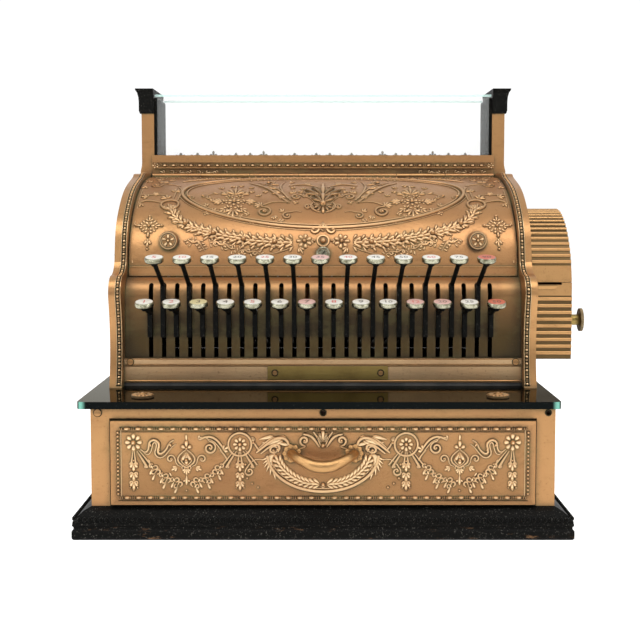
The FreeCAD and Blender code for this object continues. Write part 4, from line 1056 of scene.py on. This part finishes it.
    # scrolls in the top corners and along the top edge
    relief.spiral(176, 126, 6.6, 1.3, 200, 1, 1.9, lead=[(150, 122), (158, 128), (168, 132)])
    relief.fan(170, 136, 100, 130, 5, 8, 2.6)
    relief.fan(184, 120, -30, 90, 3, 7, 2.4)
    relief.strand([(150, 140), (136, 150), (120, 156), (104, 160)], 2.2, 0.5, 0.6)
    for x, y, angle in ((146, 146, 120), (136, 151, 150), (124, 156, 100), (112, 160, 140),
                        (100, 162, 110), (160, 146, 60),
                        (174, 150, 70), (186, 140, 90)):
        relief.fan(x, y, angle, 90, 3, 7.5, 2.6)
    for x in range(92, 188, 12):
        relief.curl(x, 170, 90, 3.4, 1 if x % 24 else -1, 1.6)
        relief.drop(x + 5, 168, 70, 6, 2.4)
    relief.strand([(188.4, 4), (188.4, 60), (188.4, 120), (188.4, 190)], 1.2, 1, 1)

    piece = relief.make("lidOrnament", lidCurve.wrap)
    dress(piece, "lid", "bronze", finish["garland"])

    # rosettes on the two buttons
    side, level = lidLook["button"]
    y = lidCurve.wrap(0, lidCurve.height(level), 0).y
    flower = Relief()
    flower.ring(side, level, 8.2, 8.2, 1.5)
    flower.ring(side, level, 6.5, 6.5, 0.7)
    flower.flower(side, level, 5.6, 5, 90)
    rosettes = flower.make("buttonRosettes", lambda a, b, h: Vector((a * mm, y - 8.0 * mm - h * mm, b * mm)))
    dress(rosettes, "lid", "bronze", finish["relief"])


lidOrnament()
print("lid ornament")


# side castings: a row of leaves between two cords, down the front edge
edgeLook = {"pitch": 6.6, "beads": 195.6, "cords": (193.3, 198.2)}


def castingEdges():
    mesh = frame["nodes"]["side_casting_left"].data
    seen = {}
    for vertex in mesh.vertices:
        y, z = vertex.co.y * 1000, vertex.co.z * 1000
        if y < lidCurve.back + 0.5:
            seen[(round(y, 2), round(z, 2))] = True
    outline = sorted(seen, key=lambda point: point[1])
    run = [outline[0]]
    for point in outline[1:]:
        if math.dist(point, run[-1]) > 1.2:
            run.append(point)
    steps = walk(run, 1.0)
    places = np.array([(y, z) for y, z, heading in steps])
    headings = np.unwrap(np.radians([heading for y, z, heading in steps]))
    headings = np.convolve(np.pad(headings, 4, "edge"), np.ones(9) / 9, "valid")
    length = len(steps) - 1

    def wrap(x, v, h):
        y = np.interp(v, range(len(steps)), places[:, 0])
        z = np.interp(v, range(len(steps)), places[:, 1])
        turn = np.interp(v, range(len(steps)), headings)
        return Vector((x, y - h * math.sin(turn), z + h * math.cos(turn))) * mm

    relief = Relief()
    count = int((length - 6) / edgeLook["pitch"])
    for i in range(count):
        v = 4 + i * edgeLook["pitch"]
        relief.bead(edgeLook["beads"], v, 1.5, 1.0, stretch=1.0, angle=90)
        for off in (2.7, 4.0):
            relief.bead(edgeLook["beads"], v + off, 1.6, 0.9, stretch=0.32, angle=90)
    for x in edgeLook["cords"]:
        relief.strand([(x, 3 + (length - 5) * i / 40) for i in range(41)], 0.8, 1, 1)
    piece = relief.make("castingEdges", wrap, fuller=1.0)
    dress(piece, "cabinet", "bronze", finish["relief"])
    channel = Relief()
    channel.strand([(edgeLook["beads"], 2 + (length - 3) * i / 40) for i in range(41)], 5.6, 1, 1)
    piece = channel.make("castingChannel", wrap, fuller=1.0, lift=0.12)
    dress(piece, "cabinet", "bronze", finish["ink"])


castingEdges()
print("casting edges")


# cornice: bead row, corner bosses and leaf scrolls; crest behind the window
def corniceOrnament():
    top = nodeBox("indicator_cornice")[1].z * 1000
    face = nodeBox("window_posts")[0].y * 1000
    relief = Relief()
    for i in range(19):
        x = i * 9.9
        relief.bead(x, top - 11.4, 1.7, 1.8, stretch=1.7)
        relief.bead(x + 3.7, top - 11.4, 1.5, 1.4, stretch=0.4)
        relief.bead(x + 6.2, top - 11.4, 1.5, 1.4, stretch=0.4)
    relief.flower(188.5, top - 11.5, 3.4, 5)
    row = relief.make("corniceBeads", lambda a, b, h: Vector((a, face - 6.0 - h, b)) * mm)
    dress(row, "cabinet", "bronze", finish["relief"])
    scrolls = Relief()
    for i, x in enumerate(range(112, 186, 15)):
        scrolls.curl(x, top - 19.6, 40 if i % 2 else -40, 3.0, 1 if i % 2 else -1, 1.5)
        scrolls.fan(x + 6, top - 20.0, 170 if i % 2 else 20, 80, 3, 6.0, 2.3)
        scrolls.bead(x + 9, top - 19.4, 1.3)
    fascia = scrolls.make("fasciaScrolls", lambda a, b, h: Vector((a, face - 2.0 - h, b)) * mm)
    dress(fascia, "cabinet", "bronze", finish["relief"])
    crest = Relief()
    base = top + 4.2
    for x in (8, 34, 71, 87, 104, 131, 150, 170):
        crest.fan(x, base - 2.5, 90, 100, 3, 6.6 if x in (71, 131) else 4.6, 3.0)
    for x in range(4, 184, 9):
        crest.bead(x, base - 1.2, 1.7)
    crest.strand([(0, base - 3.4), (90, base - 3.4), (180, base - 3.4)], 3.4, 1, 1)
    behind = nodeBox("back_panel")[0].y * 1000
    leaves = crest.make("windowCrest", lambda a, b, h: Vector((a, behind - h, b)) * mm)
    dress(leaves, "cabinet", "bronze", finish["plain"])


corniceOrnament()
print("cornice")


# base board: the carved band round its middle
plinthLook = {"level": 0.66, "pitch": 4.9, "wide": 1.75, "tall": 2.5, "proud": 1.5}


def plinthBand():
    high = nodeBox("plinth")[1] * 1000
    level = high.z * plinthLook["level"]
    row = Relief(False)
    corners = [Vector((x * high.x, y * high.y)) for x, y in ((-1, -1), (1, -1), (1, 1), (-1, 1))]
    offset = 0.0
    frames = []
    for a, b in zip(corners, corners[1:] + corners[:1]):
        length = (b - a).length
        count = int((length - 8) / plinthLook["pitch"])
        for i in range(count):
            s = offset + 4 + (length - 8) * (i + 0.5) / count
            row.bead(s, 0, plinthLook["wide"], plinthLook["proud"],
                     stretch=plinthLook["tall"] / plinthLook["wide"], angle=90)
        frames.append((offset, a, (b - a).normalized()))
        offset += length + 50

    def wrap(s, v, h):
        begin, a, along = [f for f in frames if s >= f[0] - 5][-1]
        out = Vector((along.y, -along.x))
        spot = a + along * (s - begin) + out * (h - 1.3)
        return Vector((spot.x, spot.y, level + v)) * mm

    piece = row.make("plinthBand", wrap)
    dress(piece, "cabinet", "plinth", finish["plinth"])


plinthBand()
print("base board")


# key tops: nickel cup, printed disc under a clear face, figure in ink
keyLook = {
    "tilt": 14, "radius": 8.95, "height": 6.1, "inset": 2.6, "faceDrop": 0.75, "reach": 9.41, "rise": 7.59,
    "back": ["5", "10", "15", "20", "25", "30", "35", "40", "45", "50", "60", "75", "90"],
    "front": ["1", "2", "3", "4", "5", "6", "7", "8", "9", "10", "12", "20", "25", "50"],
    "backFaces": {7: "pink", 13: "red"},
    "frontFaces": {3: "yellow", 7: "pink", 11: "pink", 12: "pink", 14: "red"},
    "redFigures": (1, 2, 5, 8, 11),
}


def facePaint(name, tone, mark):
    paint = Paint(name)
    stain = paint.noise(220.0, 4.0, 0.6)
    scratch = paint.noise(500.0, 2.0, 0.6)
    return paint.feed(Base_Color=paint.mix(stain.between(0.45, 0.75) * 0.5, tone, mark),
                      Roughness=0.35 + scratch * 0.2,
                      Coat_Weight=0.12, Normal=paint.bump(scratch, 0.08, 0.0002))


faces = {
    "white": facePaint("faceWhite", (0.60, 0.58, 0.52), (0.36, 0.33, 0.26)),
    "pink": facePaint("facePink", (0.50, 0.30, 0.26), (0.55, 0.46, 0.40)),
    "yellow": facePaint("faceYellow", (0.48, 0.42, 0.22), (0.40, 0.34, 0.16)),
    "red": facePaint("faceRed", (0.42, 0.09, 0.05), (0.52, 0.26, 0.17)),
}
inks = {
    "red": facePaint("inkRed", (0.45, 0.03, 0.03), (0.30, 0.02, 0.02)),
    "black": facePaint("inkBlack", (0.02, 0.02, 0.02), (0.06, 0.05, 0.05)),
}


def keyTop():  # standing upright at the origin, its foot on Z = 0
    clearSelection()
    bpy.ops.mesh.primitive_cylinder_add(vertices=32, radius=keyLook["radius"] * mm,
                                        depth=keyLook["height"] * mm,
                                        location=(0, 0, keyLook["height"] / 2 * mm))
    cup = settle(bpy.context.object, "cup")
    pick(cup)
    for polygon in cup.data.polygons:
        polygon.select = polygon.normal.z > 0.9
    bpy.ops.object.mode_set(mode="EDIT")
    bpy.ops.mesh.select_mode(type="FACE")
    bpy.ops.mesh.inset(thickness=1.0 * mm)
    bpy.ops.transform.translate(value=(0, 0, 0.4 * mm))
    bpy.ops.mesh.inset(thickness=(keyLook["inset"] - 1.0) * mm)
    bpy.ops.transform.translate(value=(0, 0, -keyLook["faceDrop"] * mm))
    bpy.ops.mesh.inset(thickness=0.5 * mm)
    bpy.ops.transform.translate(value=(0, 0, 0.3 * mm))
    bpy.ops.object.mode_set(mode="OBJECT")
    # the black foot left in sight is a dark band, standing in for the shade under the cap
    for vertex in cup.data.vertices:  # the blank's black foot stays in sight
        if vertex.co.z < 0.1 * mm:
            vertex.co.z += 1.5 * mm
    bevelled(cup, 0.0009, 3)
    for polygon in cup.data.polygons:
        inner = polygon.center.xy.length < (keyLook["radius"] - keyLook["inset"] - 0.2) * mm
        polygon.material_index = 1 if inner and polygon.normal.z > 0.9 and polygon.center.z > 4 * mm else 0
    smooth(cup, 40)
    return cup


def figure(text):
    clearSelection()
    bpy.ops.object.text_add(location=(0, 0, 0))
    words = bpy.context.object
    words.data.body = text
    words.data.align_x = "CENTER"
    words.data.align_y = "CENTER"
    words.data.size = (10.5 if len(text) == 1 else 8.6) * mm
    words.data.extrude = 0.03 * mm
    words.data.resolution_u = 3
    bpy.ops.object.convert(target="MESH")
    return bpy.context.object


def keyTops():
    shape = keyTop()
    tilt = math.radians(keyLook["tilt"])
    for bank, prefix in (("back", "key_back_"), ("front", "key_front_")):
        for number, text in enumerate(keyLook[bank], 1):
            name = prefix + "%02d" % number
            low, high = nodeBox(name)
            foot = Vector(((low.x + high.x) / 2, low.y + keyLook["reach"] * mm,
                           high.z - keyLook["rise"] * mm))
            clearSelection()
            cup = shape.copy()
            cup.data = shape.data.copy()
            bpy.context.scene.collection.objects.link(cup)
            label = figure(text)
            label.location = (0, 0, (keyLook["height"] - keyLook["faceDrop"] + 0.72) * mm)
            settle(label, "label")
            label.data.materials.clear()
            face = faces[keyLook[bank + "Faces"].get(number, "white")]
            ink = inks["red" if number in keyLook["redFigures"] else "black"]
            for paint in (finish["nickel"], face, ink):
                cup.data.materials.append(paint)
                label.data.materials.append(paint)
            for polygon in label.data.polygons:
                polygon.material_index = 2
            top = join("keyTop." + bank + "%02d" % number, cup, label)
            top.rotation_euler = (tilt, 0, 0)
            top.location = foot
            settle(top, top.name)
            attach(top, name)
    bpy.data.objects.remove(shape)


keyTops()
print("key tops")


# window: the top pane's ground edges
def paneEdges():
    low, high = nodeBox("window_glass")
    top = high.z
    for name, y in (("paneEdgeFront", low.y), ("paneEdgeBack", high.y)):
        strip = block(name, (low.x + 0.0005, y - 0.0002, top - 0.0030),
                      (high.x - 0.0005, y + 0.0002, top - 0.0004))
        bevelled(strip, 0.00008, 1)
        dress(strip, "cabinet", "window_glass", finish["glassEdge"])


paneEdges()
print("window")

# small fittings: mouldings, screw cups, shelf rosettes, lock ring, strip tongue
trimLook = {"lidBand": (-0.0785, -0.0788), "petals": 14, "rosette": 9.8, "lockLevel": 0.2516, "lockRing": 5.9}


def ringAt(name, place, radius, thick, turn=(math.pi / 2, 0, 0)):
    clearSelection()
    bpy.ops.mesh.primitive_torus_add(major_radius=radius * mm, minor_radius=thick * mm, major_segments=28,
                                     minor_segments=8,
                                     location=place, rotation=turn)
    return settle(bpy.context.object, name)


def roundBar(name, low, high, y, z, radius):
    clearSelection()
    bpy.ops.mesh.primitive_cylinder_add(vertices=12, radius=radius * mm, depth=high - low,
                                        location=((low + high) / 2, y, z), rotation=(0, math.pi / 2, 0))
    return settle(bpy.context.object, name)


def panelTrim():
    low, high = nodeBox("lower_front_panel")
    railLow, railHigh = nodeBox("keyboard_rail")
    bars = [
        roundBar("foot", low.x + 0.001, high.x - 0.001, low.y + 0.0006, low.z + 0.0012, 1.1),
        roundBar("shoulder", low.x + 0.001, high.x - 0.001, low.y + 0.0010, high.z - 0.0008, 0.7),
        roundBar("railEdge", railLow.x + 0.001, railHigh.x - 0.001, railLow.y + 0.0004,
                 railHigh.z - 0.0006, 0.6),
        roundBar("railFoot", railLow.x + 0.001, railHigh.x - 0.001, railLow.y + 0.0003, railLow.z + 0.0007,
                 0.6),
    ]
    trim = join("panelTrim", *bars)
    smooth(trim)
    dress(trim, "cabinet", "bronze", finish["plain"])
    lidLow, lidHigh = nodeBox("lid")
    band = join("lidBandTrim",
                roundBar("low", lidLow.x + 0.001, lidHigh.x - 0.001, trimLook["lidBand"][0],
                         lidLow.z + 0.0007, 0.6),
                roundBar("high", lidLow.x + 0.001, lidHigh.x - 0.001, trimLook["lidBand"][1],
                         lidLow.z + 0.0088, 0.7))
    smooth(band)
    dress(band, "lid", "bronze", finish["plain"])


def screwCups():
    plateLow, plateHigh = nodeBox("name_plate")
    railLow, railHigh = nodeBox("keyboard_rail")
    frameLow, frameHigh = nodeBox("case_face_frame")
    middle = (plateLow.x + plateHigh.x) / 2
    level = (plateLow.z + plateHigh.z) / 2
    cups = []
    for side in (-1, 1):
        cups.append(ringAt("cup", (middle + side * 51.2 * mm, plateLow.y - 0.0003, level), 2.9, 0.55))
        cups.append(ringAt("cup", (side * (railHigh.x - 6 * mm), railLow.y - 0.0002,
                                   railHigh.z - 3.1 * mm), 3.2, 0.45))
    cups.append(ringAt("cup", (frameLow.x + 6.5 * mm, frameLow.y - 0.0002, frameHigh.z - 5 * mm), 3.5, 0.45))
    cups.append(ringAt("cup", (0, frameLow.y - 0.0002, frameHigh.z - 5 * mm), 2.6, 0.5))
    cups.append(ringAt("cup", (frameHigh.x - 6.5 * mm, frameLow.y - 0.0002, frameHigh.z - 5 * mm), 2.6, 0.5))
    ring = join("screwCups", *cups)
    smooth(ring)
    dress(ring, "cabinet", "bronze", finish["ink"])


def shelfRosettes():
    top = nodeBox("glass_shelf")[1].z
    flowers = Relief(False)
    for x in (-165, 160):
        flowers.flower(x, -168, trimLook["rosette"], trimLook["petals"])
        flowers.ring(x, -168, 10.0, 10.0, 1.0, 24)
        flowers.ring(x, -168, 4.4, 4.4, 0.8)
    piece = flowers.make("shelfRosettes", lambda a, b,
                         h: Vector((a * mm, b * mm, top + 1.6 * mm + h * mm)), fuller=1.0, lift=1.0)
    dress(piece, "cabinet", "bronze", finish["relief"])


def lockRing():
    front = nodeBox("lid_lock")[0].y
    ring = ringAt("lockRing", (0, front - 0.0001, trimLook["lockLevel"]), trimLook["lockRing"], 0.9)
    smooth(ring)
    dress(ring, "lid", "bright_steel", finish["nickel"])


tongueLook = {"face": -0.0783, "top": 0.2195, "thick": 0.0012,
              "outline": [(0.2075, 0.0), (0.2320, 0.0), (0.2290, -0.0030), (0.2130, -0.0034),
                          (0.2075, -0.0026)]}


def stripTongue():  # the tear-off lip under the strip's slot
    points, faces = [], []
    for out in (0.0, -tongueLook["thick"]):
        for x, drop in tongueLook["outline"]:
            lean = 0.0002 if drop else -0.0004
            points.append((x, tongueLook["face"] + out + lean, tongueLook["top"] + drop))
    n = len(tongueLook["outline"])
    faces.append(tuple(range(n)))
    faces.append(tuple(range(2 * n - 1, n - 1, -1)))
    for i in range(n):
        j = (i + 1) % n
        faces.append((i, i + n, j + n, j))
    tongue = meshFrom("stripTongue", points, faces)
    recalc(tongue)
    bevelled(tongue, 0.0003, 2)
    dress(tongue, "cabinet", "printer_gilt", finish["gilt"])


panelTrim()
screwCups()
shelfRosettes()
lockRing()
stripTongue()
print("small fittings")


# printer knob: thin knurled wheel on a brass neck, with the take-up spool behind it
knobLook = {"ribs": 44, "radius": 12.0, "thick": 3.2}


def printerKnob():
    low, high = nodeBox("printer_knob")
    source = frame["nodes"]["printer_knob"]
    axis = [j for j in frame["joints"] if j["name"] == "printer_knob_turn"][0]["pos_m"]
    cut = nodeBox("printer_case")[1].x + 0.0003
    spool = source.copy()
    spool.data = source.data.copy()
    bpy.context.scene.collection.objects.link(spool)
    pick(spool)
    bpy.ops.object.mode_set(mode="EDIT")
    bpy.ops.mesh.select_all(action="SELECT")
    bpy.ops.mesh.bisect(plane_co=(cut, 0, 0), plane_no=(1, 0, 0), use_fill=True, clear_outer=True)
    bpy.ops.object.mode_set(mode="OBJECT")
    parts = []
    for name, radius, start, stop, paint, sides in (
            ("neck", 5.6, cut - 0.0002, high.x - 0.003, "brass", 28), ("collar", 6.7, cut - 0.0001,
                    cut + 0.0030, "brass", 28),
            ("wheel", knobLook["radius"], high.x - knobLook["thick"] * mm, high.x, "knob",
             2 * knobLook["ribs"])):
        clearSelection()
        bpy.ops.mesh.primitive_cylinder_add(vertices=sides, radius=radius * mm, depth=stop - start,
                                            location=((start + stop) / 2, axis[1], axis[2]), rotation=(0,
                                                    math.pi / 2, 0))
        piece = settle(bpy.context.object, name)
        if name == "wheel":  # alternate corners drawn in, so the rim is ribbed
            for vertex in piece.data.vertices:
                dy, dz = vertex.co.y - axis[1], vertex.co.z - axis[2]
                step = round(math.atan2(dz, dy) / math.pi * knobLook["ribs"])
                shrink = 0.955 if step % 2 else 1.0
                vertex.co.y, vertex.co.z = axis[1] + dy * shrink, axis[2] + dz * shrink
            pick(piece)
            for polygon in piece.data.polygons:
                polygon.select = abs(polygon.normal.x) > 0.9
            bpy.ops.object.mode_set(mode="EDIT")
            bpy.ops.mesh.select_mode(type="FACE")
            bpy.ops.mesh.inset(thickness=2.4 * mm, depth=-0.5 * mm, use_individual=True)
            bpy.ops.mesh.inset(thickness=2.2 * mm, depth=0.4 * mm, use_individual=True)
            bpy.ops.object.mode_set(mode="OBJECT")
        bevelled(piece, 0.0003, 2)
        piece.data.materials.clear()
        piece.data.materials.append(finish[paint])
        parts.append(piece)
    spool.data.materials.clear()
    spool.data.materials.append(finish["iron"])
    knob = join("printerKnob", spool, *parts)
    smooth(knob, 40)
    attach(knob, "printer_knob")
    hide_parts("printer_knob")


printerKnob()
print("knob")
